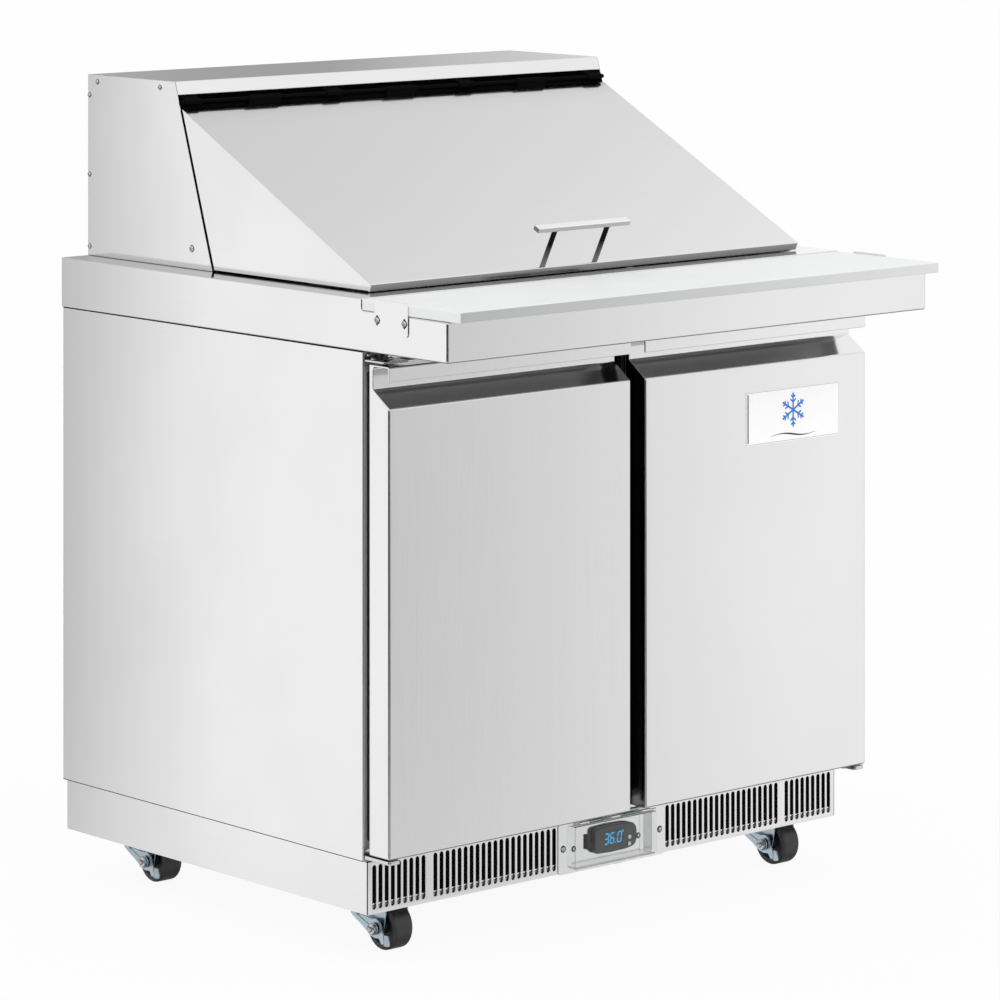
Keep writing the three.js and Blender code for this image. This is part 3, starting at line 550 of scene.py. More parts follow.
def tube(name, pts, r, mat, n=12, closed=False, smooth=50):
    """Round bar along a 3D polyline (mm)."""
    P = [Vector(p) * MM for p in pts]
    bm = bmesh.new()
    rings = []
    m = len(P)
    prev = None
    for i, p in enumerate(P):
        a = P[(i - 1) % m] if (closed or i > 0) else p
        b = P[(i + 1) % m] if (closed or i + 1 < m) else p
        d = (b - a).normalized()
        if prev is None:
            u = d.orthogonal().normalized()
        else:
            u = (prev - d * prev.dot(d)).normalized()
        prev = u
        w = d.cross(u)
        rings.append([bm.verts.new(p + (u * math.cos(2 * math.pi * k / n) + w * math.sin(2 * math.pi * k / n)) * r * MM) for k in range(n)])
    pairs = list(zip(rings, rings[1:])) + ([(rings[-1], rings[0])] if closed else [])
    for a, b in pairs:
        for k in range(n):
            bm.faces.new((a[k], a[(k + 1) % n], b[(k + 1) % n], b[k]))
    if not closed:
        bm.faces.new(rings[0])
        bm.faces.new(rings[-1])
    return obj_from_bm(bm, name, mat, smooth)


def arc3(c, r, a0, a1, axis, n=8):
    """Arc points about axis through c (mm), angles in degrees in the to3 plane order."""
    out = []
    for i in range(n + 1):
        t = math.radians(a0 + (a1 - a0) * i / n)
        v = to3(axis, r * math.cos(t), r * math.sin(t), 0) / MM
        out.append(tuple(Vector(c) + v))
    return out


def joined(name, objs, mat=None):
    """One object from several, keeping each one's material slots."""
    bm = bmesh.new()
    mats = []
    for o in objs:
        idx = []
        for mt in o.data.materials:
            if mt not in mats:
                mats.append(mt)
            idx.append(mats.index(mt))
        off = len(bm.faces)
        bm.from_mesh(o.data)
        bm.faces.ensure_lookup_table()
        for f in bm.faces[off:]:
            f.material_index = idx[f.material_index] if idx else 0
    me = bpy.data.meshes.new(name)
    bm.to_mesh(me)
    bm.free()
    for o in objs:
        bpy.data.objects.remove(o)
    new = bpy.data.objects.new(name, me)
    SC.collection.objects.link(new)
    for mt in mats:
        me.materials.append(mt)
    for p in me.polygons:
        p.use_smooth = True
    me.set_sharp_from_angle(angle=math.radians(35))
    w = new.modifiers.new("weighted", "WEIGHTED_NORMAL")
    w.keep_sharp = True
    return new


def place(o, body, replaces=()):
    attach(o, body)
    if replaces:
        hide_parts(*replaces)
    return o


def moved(o, mat4):
    o.data.transform(mat4)
    return o


def mirror_x(o, name):
    """A mirrored copy of a finished piece."""
    me = o.data.copy()
    me.name = name
    me.transform(Matrix.Scale(-1, 4, (1, 0, 0)))
    me.flip_normals()
    new = bpy.data.objects.new(name, me)
    SC.collection.objects.link(new)
    for m in o.modifiers:
        c = new.modifiers.new(m.name, m.type)
        if m.type == "WEIGHTED_NORMAL":
            c.keep_sharp = True
            c.weight = m.weight
    return new


def dress(node, mat, bevel=0.45, seg=2):
    """A carried-over CAD node: finish, rounded sheet edges and clean shading."""
    o = NODES[node]
    o.data.materials.clear()
    o.data.materials.append(M[mat])
    for p in o.data.polygons:
        p.use_smooth = True
    d = o.modifiers.new("flat", "DECIMATE")
    d.decimate_type = "DISSOLVE"
    d.angle_limit = math.radians(0.6)
    if bevel:
        b = o.modifiers.new("edge", "BEVEL")
        b.width = bevel * MM
        b.segments = seg
        b.limit_method = "ANGLE"
        b.angle_limit = math.radians(32)
        b.harden_normals = False
        b.miter_outer = "MITER_ARC"
    w = o.modifiers.new("weighted", "WEIGHTED_NORMAL")
    w.weight = 100
    return o


def screw(name, pos, out, r=3.6, body="cabinet", mat="screw", kind="cross"):
    """Pan-head screw with a cross recess. out is the direction the head faces."""
    k = 0.85 + r * 0.1
    prof = [(0, 0.3), (r * 0.94, 0.3), (r, 0.55), (r * 0.97, 0.95 * k), (r * 0.86, 1.5 * k), (r * 0.68, 1.95 * k), (r * 0.4, 2.3 * k), (0, 2.42 * k)]
    o = lathe(name + "_a", prof, "z", (0, 0), mat, 28, 50)
    bm = bmesh.new()
    bm.from_mesh(o.data)
    # cross recess: four petals pushed into the head
    bmesh.ops.subdivide_edges(bm, edges=[e for e in bm.edges], cuts=2, use_grid_fill=True)
    for v in bm.verts:
        x, y, z = v.co / MM
        if z > 1.3:
            d = min(abs(x), abs(y))
            reach = max(abs(x), abs(y))
            if d < r * 0.15 and reach < r * 0.62:
                v.co.z = (z - 0.95) * MM if z - 0.95 > 0.6 else 0.6 * MM
    me = o.data
    bm.to_mesh(me)
    bm.free()
    # A near-black washer under each head, which also paints the dark shade round the screw.
    ring = lathe(name + "_w", [(0, 0), (r * 1.2, 0), (r * 1.2, 0.2), (r * 1.12, 0.32), (0, 0.32)], "z", (0, 0), "washer", 28, 50)
    o = joined(name + "_j", [o, ring])
    me = o.data
    for p in me.polygons:
        p.use_smooth = True
    me.set_sharp_from_angle(angle=math.radians(38))
    z = Vector(out).normalized()
    rot = z.to_track_quat("Z", "Y").to_matrix().to_4x4()
    spin = Matrix.Rotation(random.uniform(0, math.pi), 4, "Z")
    me.transform(Matrix.Translation(Vector(pos) * MM) @ rot @ spin)
    o.name = name
    return place(o, body)


def outward(pts):
    """Mitred outward normals of a closed outline."""
    m = len(pts)
    area = sum(pts[i][0] * pts[(i + 1) % m][1] - pts[(i + 1) % m][0] * pts[i][1] for i in range(m))
    s = 1 if area > 0 else -1
    out = []
    for i in range(m):
        p0, p1, p2 = Vector(pts[i - 1]), Vector(pts[i]), Vector(pts[(i + 1) % m])
        e0, e1 = (p1 - p0).normalized(), (p2 - p1).normalized()
        n0, n1 = Vector((e0.y, -e0.x)) * s, Vector((e1.y, -e1.x)) * s
        n = n0 + n1
        n.normalize()
        out.append(n / max(0.35, n.dot(n0)))
    return out


def rounded_prism(name, pts, axis, t0, t1, mat, r=1.0, seg=4, drop=None, shell=0.0, smooth=32):
    """Outline swept from t0 to t1 with rounded end edges (r: one radius or one per corner).
    drop says which walls are left open; shell is the sheet thickness of the hollow body that is left."""
    m = len(pts)
    rr = list(r) if isinstance(r, (list, tuple)) else [r] * m
    N = outward(pts)
    bm = bmesh.new()
    rings = []
    for sgn, tend in ((1, t0), (-1, t1)):
        part = []
        for k in range(seg + 1):
            th = math.pi / 2 * (1 - k / seg)
            part.append([bm.verts.new(to3(axis, a - n.x * q * (1 - math.cos(th)), b - n.y * q * (1 - math.cos(th)),
                                          tend + sgn * q * (1 - math.sin(th)))) for (a, b), n, q in zip(pts, N, rr)])
        rings.append(part)
    order = rings[0] + rings[1][::-1]
    gone = []
    for A, B in zip(order, order[1:]):
        for i in range(m):
            j = (i + 1) % m
            f = bm.faces.new((A[i], A[j], B[j], B[i]))
            if drop and drop(pts[i], pts[j]):
                gone.append(f)
    bm.faces.new(order[0])
    bm.faces.new(order[-1])
    bmesh.ops.recalc_face_normals(bm, faces=bm.faces[:])
    if gone:
        bmesh.ops.delete(bm, geom=gone, context="FACES")
    me = bpy.data.meshes.new(name)
    bm.to_mesh(me)
    bm.free()
    o = bpy.data.objects.new(name, me)
    SC.collection.objects.link(o)
    if shell:
        s = o.modifiers.new("sheet", "SOLIDIFY")
        s.thickness = shell * MM
        s.offset = -1
        s.use_even_offset = True
    return finish_mesh(o, mat, smooth)


def baked(o):
    """The object's mesh with its modifiers applied."""
    bpy.context.view_layer.update()
    me = bpy.data.meshes.new_from_object(o.evaluated_get(bpy.context.evaluated_depsgraph_get()))
    o.modifiers.clear()
    o.data = me
    return o


def boolean(o, cutters, op="DIFFERENCE"):
    for c in cutters:
        m = o.modifiers.new("cut", "BOOLEAN")
        m.operation = op
        m.solver = "EXACT"
        m.object = c
    baked(o)
    for c in cutters:
        bpy.data.objects.remove(c)
    bm = bmesh.new()
    bm.from_mesh(o.data)
    bmesh.ops.remove_doubles(bm, verts=bm.verts[:], dist=1e-6)
    bmesh.ops.dissolve_limit(bm, angle_limit=math.radians(0.5), verts=bm.verts[:], edges=bm.edges[:])
    bm.to_mesh(o.data)
    bm.free()
    return o


def soften(o, r, seg=2, angle=30, only=None, smooth=32):
    """Rounds the edges of a finished mesh."""
    mats = list(o.data.materials)
    bm = bmesh.new()
    bm.from_mesh(o.data)
    bevel_bm(bm, r, seg, angle, only)
    bm.to_mesh(o.data)
    bm.free()
    return finish_mesh(o, mats[0] if mats else None, smooth)


def loft(name, rings, mat, cap=(True, True), smooth=35, shell=0.0):
    """rings: lists of 3D points (mm), all with the same count."""
    bm = bmesh.new()
    R = [[bm.verts.new(Vector(p) * MM) for p in ring] for ring in rings]
    n = len(R[0])
    for A, B in zip(R, R[1:]):
        for i in range(n):
            bm.faces.new((A[i], A[(i + 1) % n], B[(i + 1) % n], B[i]))
    for side, k in ((0, 0), (1, -1)):
        if cap[side]:
            bm.faces.new(R[k])
    bmesh.ops.recalc_face_normals(bm, faces=bm.faces[:])
    me = bpy.data.meshes.new(name)
    bm.to_mesh(me)
    bm.free()
    o = bpy.data.objects.new(name, me)
    SC.collection.objects.link(o)
    if shell:
        s = o.modifiers.new("sheet", "SOLIDIFY")
        s.thickness = shell * MM
        s.offset = 0
    return finish_mesh(o, mat, smooth)


def plates(name, axis, outline_pts, spots, thick, mat):
    """Many equal thin plates in one piece."""
    bm = bmesh.new()
    for t in spots:
        a = [[bm.verts.new(to3(axis, p, q, tt)) for p, q in outline_pts] for tt in (t, t + thick)]
        n = len(outline_pts)
        for i in range(n):
            bm.faces.new((a[0][i], a[0][(i + 1) % n], a[1][(i + 1) % n], a[1][i]))
        bm.faces.new(a[0])
        bm.faces.new(a[1])
    return obj_from_bm(bm, name, mat, 30)


def fan_rotor(name, centre, r, hub, depth, blades, mat, pitch=0.5, sweep=0.75):
    """Axial rotor about Y: a rounded hub with twisted, cambered blades."""
    cx, cy, cz = centre
    parts = [lathe(name + "_hub", [(0, -depth / 2), (hub * 0.7, -depth / 2), (hub * 0.93, -depth / 2 + 1.5), (hub, -depth / 2 + 4),
                                   (hub, depth / 2), (hub - 2, depth / 2), (hub - 2, depth / 2 - 3), (0, depth / 2 - 3)], "y", (0, 0), mat, 36)]
    bm = bmesh.new()
    nr, nc = 8, 8
    for k in range(blades):
        a0 = 2 * math.pi * k / blades
        sides = []
        for s in (-0.8, 0.8):
            grid = []
            for i in range(nr + 1):
                rad = hub - 1.5 + (r - hub + 1.5) * i / nr
                width = sweep * (0.62 + 0.38 * math.sin(math.pi * min(1, i / nr * 0.85 + 0.1)))
                row = []
                for j in range(nc + 1):
                    q = j / nc - 0.5
                    if i == nr:
                        q *= 0.82
                    ang = a0 + q * width + 0.18 * (i / nr)
                    y = -q * depth * (0.92 - 0.25 * i / nr) + 2.2 * (0.25 - q * q) * 4 * 0.6 + s
                    row.append(bm.verts.new(Vector((rad * math.cos(ang), y, rad * math.sin(ang))) * MM))
                grid.append(row)
            sides.append(grid)
        for g in sides:
            for i in range(nr):
                for j in range(nc):
                    bm.faces.new((g[i][j], g[i + 1][j], g[i + 1][j + 1], g[i][j + 1]))
        A, B = sides
        rim = [(0, j) for j in range(nc)] + [(i, nc) for i in range(nr)] + [(nr, j) for j in range(nc, 0, -1)] + [(i, 0) for i in range(nr, 0, -1)]
        for (i, j), (i2, j2) in zip(rim, rim[1:] + rim[:1]):
            bm.faces.new((A[i][j], A[i2][j2], B[i2][j2], B[i][j]))
    parts.append(obj_from_bm(bm, name + "_blades", mat, 40))
    o = joined(name, parts)
    return moved(o, Matrix.Translation(Vector(centre) * MM))


# ------------------------------------------------------------------ cabinet skins
SPL = nb("left_side_panel")
side = folded("left_side_panel_sheet", [(SPL[0], SPL[3]), (SPL[0], SPL[2]), (SPL[1], SPL[2])], 1.2, 1.9, "z", SPL[4], SPL[5], "steel_v")
side_r = mirror_x(side, "right_side_panel_sheet")
place(side, "cabinet", ["left_side_panel"])
place(side_r, "cabinet", ["right_side_panel"])

# Worktop: a deep-edged top with a stepped front for the board and a pan well with a ledge.
WT = nb("worktop")
BD = nb("cutting_board")
NOTCH = BD[3] + 0.35
SHELF = BD[4] - 0.3
TOPZ, UNDER = WT[5], WT[4]
prof = fillet([(WT[2], UNDER), (WT[3], UNDER), (WT[3], TOPZ), (NOTCH, TOPZ), (NOTCH, SHELF), (WT[2], SHELF)],
              [3.0, 0, 2.2, 1.6, 2.2, 3.0], 6, closed=True)
# The worktop steel carries painted shade on its top faces near the lid and other parts.
top = rounded_prism("worktop_shell", prof, "x", WT[0], WT[1], "steel_top", [2.9 if a < WT[2] + 4.5 else 1.5 for a, b in prof], 6)
WX, WY0, WY1, WZ = 409, -199, 337, 895
rear_void = block("v1", WT[0] + 1.5, WT[1] - 1.5, NOTCH + 1.5, WT[3] - 1.5, UNDER - 5, TOPZ - 1.5, None, 0)
boolean(rear_void, [block("v2", -WX - 1.5, WX + 1.5, WY0 - 1.5, WY1 + 1.5, WZ - 1.5, 920, None, 0),
                    block("v3", -WX + 10.5, WX - 10.5, WY0 + 10.5, WY1 - 10.5, 820, WZ, None, 0)])
front_void = block("v4", WT[0] + 1.5, WT[1] - 1.5, WT[2] + 1.5, NOTCH + 1.6, UNDER + 1.5, SHELF - 1.5, None, 0)
well1 = prism("v5", rrect(-WX, WX, WY0, WY1, 5, 5), "z", WZ, 930, None)
well2 = prism("v6", rrect(-WX + 12, WX - 12, WY0 + 12, WY1 - 12, 4, 5), "z", 815, 905, None)
groove = block("v7", -WX + 8, WX - 8, 58.9, 79.1, 886.9, 905, None, 0)
boolean(top, [rear_void, front_void, well1, well2, groove])
well_rim = lambda e: all(abs(v.co.z / MM - TOPZ) < 0.05 and abs(v.co.x / MM) < WX + 1 and WY0 - 1 < v.co.y / MM < WY1 + 1 for v in e.verts)
soften(top, 1.3, 3, 30, well_rim)
top.data.materials.clear()
top.data.materials.append(M["steel_top"])
place(top, "cabinet", ["worktop"])
# Near-black strip under the worktop edge, along both sides: painted shade line in the gap above the side panels.
SP = nb("left_side_panel")
for s, tag in ((-1, "left"), (1, "right")):
    x0, x1 = sorted((s * (-SP[0] + 0.75), s * (-SP[0] - 3)))
    shade_line = block("worktop_edge_shade_line_" + tag, x0, x1, SP[2] + 0.2, SP[3] - 0.5, UNDER - 1.85, UNDER - 0.05, "seal", 0.35, 2)
    place(shade_line, "cabinet", ())
    # Near-black strip along each side panel's foot: painted shade line.
    foot = block("side_panel_foot_shade_line_" + tag, *sorted((s * (-SP[0] + 0.12), s * (-SP[0] - 2.5))), SP[2] + 0.6, SP[3] - 0.6, SP[4] + 0.05, SP[4] + 1.15, "seal", 0.1, 1)
    place(foot, "cabinet", ())
# Near-black strip on the mullion between the doors: painted shade in the gap between them.
FF = nb("face_frame")
mull = block("mullion_gap_shade_strip", -13.5, 13.5, FF[2] - 0.25, FF[2] - 0.02, 141, 822, "seal", 0.08, 1)
place(mull, "cabinet", ())
# Air filter and bottom flange behind the intake grille.
for s, tag in ((-1, "left"), (1, "right")):
    x0, x1 = sorted((s * 84.0, s * 447.0))
    place(block("intake_filter_" + tag, x0, x1, -239.4, -236.2, 67.5, 136.5, "filter", 0.5, 1), "cabinet", ())
    place(block("intake_flange_" + tag, x0, x1, -240.9, -239.9, 66.4, 77.2, "flange", 0.25, 2), "cabinet", ())

# Plinth: floor pan, back and sides, with the caster pads under the floor.
dress("plinth_frame", "steel_y", 0.5)
dress("rear_panel", "steel_v", 0.35, 1)
dress("face_frame", "steel_v", 0.5)
dress("cabinet_insulation", "foam", 0.0)
dress("cavity_liner", "alu", 0.8)
dress("pan_divider_bar", "steel_x", 0.5)

# Near-black strips at the plinth's front corners: painted shade lines.
for s, tag in ((-1, "left"), (1, "right")):
    x0, x1 = sorted((s * 454.0, s * 452.8))
    place(block("plinth_corner_shade_line_" + tag, x0, x1, -243.95, -242.9, 66.6, 138.6, "seal", 0.3, 1), "cabinet", ())

# Louvre vanes pressed in behind the slots of the rear panel.
RP = nb("rear_panel")
vanes = []
for row in range(7):
    for x in (-290, 0, 290):
        z = 160 + row * 22
        pts = [(RP[3] - 1.3, z + 10.2), (RP[3] - 3.0, z + 8.6), (RP[3] - 8.5, z + 1.5), (RP[3] - 9.3, z + 2.1),
               (RP[3] - 3.9, z + 9.3), (RP[3] - 2.0, z + 11.2), (RP[3] - 1.3, z + 11.2)]
        vanes.append(prism("vane", pts, "x", x - 125, x + 125, "steel_v", 0))
place(joined("rear_louvre_vanes", vanes), "cabinet", ())
for i, (x, z) in enumerate([(sx * 452, z) for sx in (-1, 1) for z in (152, 330, 560, 800)] + [(0, 152), (0, 800)]):
    screw("rear_panel_screw_%d" % i, (x, RP[3] - 0.2, z), (0, 1, 0), 3.4)

# ------------------------------------------------------------------ hood
HS = nb("hood_shell")
HL = nb("left_hood_side")
HX = -HL[0]
FY0, FZ0, FY1 = 229.85, 1156.6, 236.65
hood = folded("hood_shell_sheet", [(HS[3], HS[4]), (HS[3], HS[5]), (FY1, HS[5]), (FY0, FZ0), (252, FZ0)], 1.5, 2.0, "x", HS[0], HS[1], "steel_x", n=6)
place(hood, "cabinet", ["hood_shell"])
seam = lambda z: 148.05 + (z - 909.3) * (FY1 - 148.05) / (HS[5] - 909.3)
cap_pts = [(HL[3], HL[4]), (HL[3], HL[5]), (FY1, HL[5]), (seam(HL[4]), HL[4])]
# The hood side plate steel carries painted shade near contacts.
cap = prism("hood_side_plate", cap_pts, "x", HL[0], HL[0] + 1.4, "steel_hood", 0.5, 3)
foot = block("hood_side_foot", HL[0] + 1.6, HL[0] + 16, 162, 443, HL[4], HL[4] + 1.4, "steel_v", 0.4)
capL = joined("left_hood_side_plate", [cap, foot])
capR = mirror_x(capL, "right_hood_side_plate")
place(capL, "cabinet", ["left_hood_side"])
# Near-black strips behind the hood side plates' front edges: painted shade lines at the seams.
for s_ in (-1, 1):
    sb = prism("hood_seam_shade_line_%d" % (s_ > 0), [(seam(z) + dy, z) for z, dy in ((916, -1.5), (1120, -1.5), (1120, 3.0), (916, 3.0))], "x",
               *sorted((s_ * (HX - 1.7), s_ * (HX - 2.9))), "seal", 0.2, 1)
    place(sb, "cabinet", ())
place(capR, "cabinet", ["right_hood_side"])
HOOD_SCREWS = [(422.7, 1167, 3.3), (271.2, 1167, 3.3), (442.2, 1147, 3.3), (442.2, 1029.5, 3.3), (442.2, 922.9, 3.3), (195.3, 938.8, 4.3)]
for s, tag in ((-1, "left"), (1, "right")):
    for i, (y, z, r) in enumerate(HOOD_SCREWS):
        screw("%s_hood_screw_%d" % (tag, i), (s * (HX - 0.1), y, z), (s, 0, 0), r)

PIN = nb("lid_hinge_pin")
PY, PZ = (PIN[2] + PIN[3]) / 2, (PIN[4] + PIN[5]) / 2
# The hinge rod and knuckles are near-black so they read as the shade in the gap under the hood (painted shade).
pin = lathe("lid_hinge_rod", [(0, PIN[0]), (2.4, PIN[0]), (3, PIN[0] + 0.7), (3, PIN[1] - 0.7), (2.4, PIN[1]), (0, PIN[1])], "x", (PY, PZ), "hinge", 28)
place(pin, "cabinet", ["lid_hinge_pin"])


def knuckle(name, x, half, body):
    prof = [(3.45, -half), (4.1, -half), (4.5, -half + 0.4), (4.5, half - 0.4), (4.1, half), (3.45, half)]
    o = lathe(name + "_barrel", [(r, x + h) for r, h in prof], "x", (PY, PZ), "hinge", 32, closed=True)
    if body == "cabinet":
        t = prism(name + "_leaf", [(PY + 3, PZ + 4.9), (PY + 5.2, PZ + 3), (PY + 8.6, PZ + 5.2), (PY + 8.6, PZ + 8.4), (PY + 7.0, PZ + 8.4), (PY + 7.0, PZ + 6.4)],
                  "x", x - half + 0.4, x + half - 0.4, "hinge", 0.2, 1)
    else:
        t = prism(name + "_leaf", [(PY - 3.3, PZ - 2.0), (PY - 0.6, PZ - 3.9), (PY + 0.4, PZ - 9.9), (PY - 1.6, PZ - 10.4)],
                  "x", x - half + 0.4, x + half - 0.4, "hinge", 0.2, 1)
    place(joined(name, [o, t]), body, ())


for i, x in enumerate((-395, -130, 130, 395)):
    knuckle("hood_hinge_knuckle_%d" % i, x, 15, "cabinet")
for i, x in enumerate((-262, 0, 262)):
    knuckle("lid_hinge_knuckle_%d" % i, x, 30, "lid")

# Foam draught strip on the hood front, behind the hinge; near-black, it also paints the shade of the gap there.
strip = prism("hood_draught_strip", fillet([(230.2, 1119), (231.3, 1119), (231.3, 1156.4), (230.2, 1156.4)], 0.4, 3, closed=True), "x", -411, 411, "seal", 0.2, 2)
place(strip, "cabinet", ())

# ------------------------------------------------------------------ lid
LS = nb("lid_shell")
FOOT_Y, FOOT_Z, SLOPE = LS[2], 921.1, 219.9 / 431.6
TOPY = 219.6
RIM = LS[4] - 1.1
slope_z = lambda y, d=0.0: FOOT_Z + SLOPE * (y - FOOT_Y) - d
backY = lambda z: seam(z) - 4.5
lid_pts = fillet([(TOPY, slope_z(TOPY)), (FOOT_Y, FOOT_Z), (-201.45, RIM), (backY(RIM), RIM)], [0.0, 1.9, 0.0, 0.0], 6, closed=True)
# The lid steel carries painted shade towards the hinge.
lid = rounded_prism("lid_shell_sheet", lid_pts, "x", LS[0], LS[1], "steel_lid", 1.7, 4,
                    drop=lambda p, q: (abs(p[1] - RIM) < 0.01 and abs(q[1] - RIM) < 0.01) or (p[0] > 100 and q[0] > 100 and abs(p[0] - q[0]) > 3), shell=1.4)
# A near-black sheet that carries the lid slope on under the hood: painted shade where the lid runs into the dark gap.
rear_shade_sheet = prism("lid_rear_shade_sheet", [(TOPY - 0.6, slope_z(TOPY - 0.6, 0.1)), (228.4, slope_z(228.4, 0.1)), (228.4, slope_z(228.4, 1.5)), (TOPY - 0.6, slope_z(TOPY - 0.6, 1.5))],
                 "x", -411, 411, "hinge", 0.15, 1)
place(rear_shade_sheet, "lid", ())
# The lid's front lip faces take a darker copy of the steel: painted shade.
lid.data.materials.append(M["lip_shade_steel"])
for f in lid.data.polygons:
    if f.center.z / MM < 920.5 and f.normal.y < -0.9 and f.center.y < -0.19:
        f.material_index = 1
place(lid, "lid", ["lid_shell"])
dress("lid_liner", "white", 1.6, 3)

# Handle: flat bar on two posts square to the slope.
tilt = math.atan(SLOPE)
HM = Matrix.Translation(Vector((-44, FOOT_Y + 5 * math.cos(tilt), FOOT_Z + 5 * math.sin(tilt))) * MM) @ Matrix.Rotation(tilt, 4, "X")
bar = prism("handle_bar", rrect(-88.5, 88.5, -6, 6, 1.2, 4), "z", 60.0, 67.5, "lit_top_steel", 1.1, 3)
# Faces take lit and shaded copies of the steel by direction: brighter top, darker front and underside, darkest ends
# (painted light and shade).
bar.data.materials.append(M["edge_shade_steel"])
bar.data.materials.append(M["end_shade_steel"])
for f in bar.data.polygons:
    if abs(f.normal.x) > 0.75:
        f.material_index = 2
    elif f.normal.y < -0.75 or f.normal.z < -0.75:
        f.material_index = 1
# The posts use the post finish, darker under the bar (painted shade).
posts = [lathe("handle_post", [(0, 0.4), (3.9, 0.4), (3.8, 1.5), (3.8, 59.2), (4.1, 60.4), (4.6, 61.2), (0, 61.2)],
               "z", (s * 50.5, 0), "post", 28) for s in (-1, 1)]
handle = joined("lid_handle_bar", [bar] + posts)
moved(handle, HM)
place(handle, "lid", ["lid_handle"])

# ------------------------------------------------------------------ board and its brackets
board = rounded_prism("cutting_board_slab", fillet([(BD[2], BD[4]), (BD[3], BD[4]), (BD[3], BD[5]), (BD[2], BD[5])], 1.6, 4, closed=True),
                      "x", BD[0], BD[1], "board", 1.5, 4)
place(board, "cutting_board", ["cutting_board"])
BR = nb("left_board_bracket")
slots = [rrect(yc - 2.4, yc + 2.4, 875.4, 889.6, 2.3, 4) for yc in (-278, -335)]
plate = prism("left_board_bracket_plate", rrect(BR[2], BR[3], BR[4], BR[5], 5.5, 6), "x", BR[0], BR[1], "steel_y", 0.35, 2, holes=slots)
plateR = mirror_x(plate, "right_board_bracket_plate")
place(plate, "cabinet", ["left_board_bracket"])
place(plateR, "cabinet", ["right_board_bracket"])
for s, tag in ((-1, "left"), (1, "right")):
    for i, y in enumerate((-278, -335)):
        screw("%s_bracket_screw_%d" % (tag, i), (s * (-BR[0] - 0.1), y, 882.5), (s, 0, 0), 4.6)

# ------------------------------------------------------------------ pans
for node in [n for n in NODES if n.endswith("_pan")]:
    p = nb(node)
    cx, cy = (p[0] + p[1]) / 2, (p[2] + p[3]) / 2
    hw, hd, zt = (p[1] - p[0]) / 2, (p[3] - p[2]) / 2, p[5]
    depth = p[5] - p[4]

    def ring(inset, dz, r):
        return [(cx + a, cy + b, zt + dz) for a, b in rrect(-hw + inset, hw - inset, -hd + inset, hd - inset, r, 7)]
    R = [ring(0.35, -1.0, 8), ring(0.35, -0.75, 8), ring(0.7, -0.4, 8), ring(8.8, -0.4, 17)]
    for k in range(1, 6):
        a = k / 5 * math.radians(85)
        R.append(ring(8.8 + 4.2 * math.sin(a), -0.4 - 4.2 * (1 - math.cos(a)), 17 + 4 * math.sin(a)))
    R.append(ring(14.8, -22, 20.5))
    R.append(ring(17.2, -22.8, 19.5))
    wall_z = -depth + 12
    R.append(ring(20.5, wall_z, 18))
    for k in range(1, 7):
        a = k / 6 * math.pi / 2
        R.append(ring(20.5 + 10.5 * (1 - math.cos(a)), wall_z - 10.8 * math.sin(a), max(8, 18 - 7 * (1 - math.cos(a)))))
    R.append(ring(60 if hw > 100 else 45, -depth + 1.0, 4))
    pan = loft(node + "_pressing", R, "pan", (False, True), 50, 0.75)
    place(pan, node, [node])

# ------------------------------------------------------------------ doors
DS = nb("left_door_skin")
DF, DB, DX0, DX1, DZ0, DZ1 = DS[2], DS[3], DS[0], DS[1], DS[4], DS[5]
raw = [(DB, DZ0), (DF, DZ0), (DF, 763.2), (-266, 786.5), (-266, 817.9), (-297.65, 817.9), (-297.65, 800), (DF, 800), (DF, DZ1), (DB, DZ1)]
radii = [0, 3.0, 3.6, 3.0, 4.0, 1.6, 0.6, 0.9, 4.0, 0]
dp = fillet(raw, radii, 6, closed=True)
end_r = []
for a, b in dp:
    if b < 765:
        end_r.append(2.7)
    elif b < 787 and a < -266.5:
        t = (b - 765) / 22
        end_r.append(2.7 - 1.8 * t)
    elif a < -296.9 and b > 799:
        end_r.append(0.55)
    else:
        end_r.append(0.85)
skin = rounded_prism("left_door_outer_skin", dp, "x", DX0, DX1, "steel_v", end_r, 5,
                     drop=lambda p, q: abs(p[0] - DB) < 0.01 and abs(q[0] - DB) < 0.01, shell=1.1)
# The ceiling of the pull recess takes the dark lining colour: painted shade in the recess.
skin.data.materials.append(M["pull"])
for f in skin.data.polygons:
    c, nrm = f.center / MM, f.normal
    if c.y > -297.3 and 800 < c.z < 819 and nrm.z < -0.6:
        f.material_index = 1
# End faces at the doors' meeting edge take a dark copy of the steel: painted shade in the gap.
skin.data.materials.append(M["end_shade_steel"])
for f in skin.data.polygons:
    if f.normal.x > 0.9:
        f.material_index = 2
skinR = mirror_x(skin, "right_door_outer_skin")
for o, src in ((skinR, skin),):
    for m in list(o.modifiers):
        o.modifiers.remove(m)
    s = o.modifiers.new("sheet", "SOLIDIFY")
    s.thickness, s.offset, s.use_even_offset = 1.1 * MM, -1, True
    w = o.modifiers.new("weighted", "WEIGHTED_NORMAL")
    w.keep_sharp, w.weight = True, 100
place(skin, "left_door", ["left_door_skin"])
place(skinR, "right_door", ["right_door_skin"])
dress("left_door_liner", "white", 1.4, 3)
dress("right_door_liner", "white", 1.4, 3)

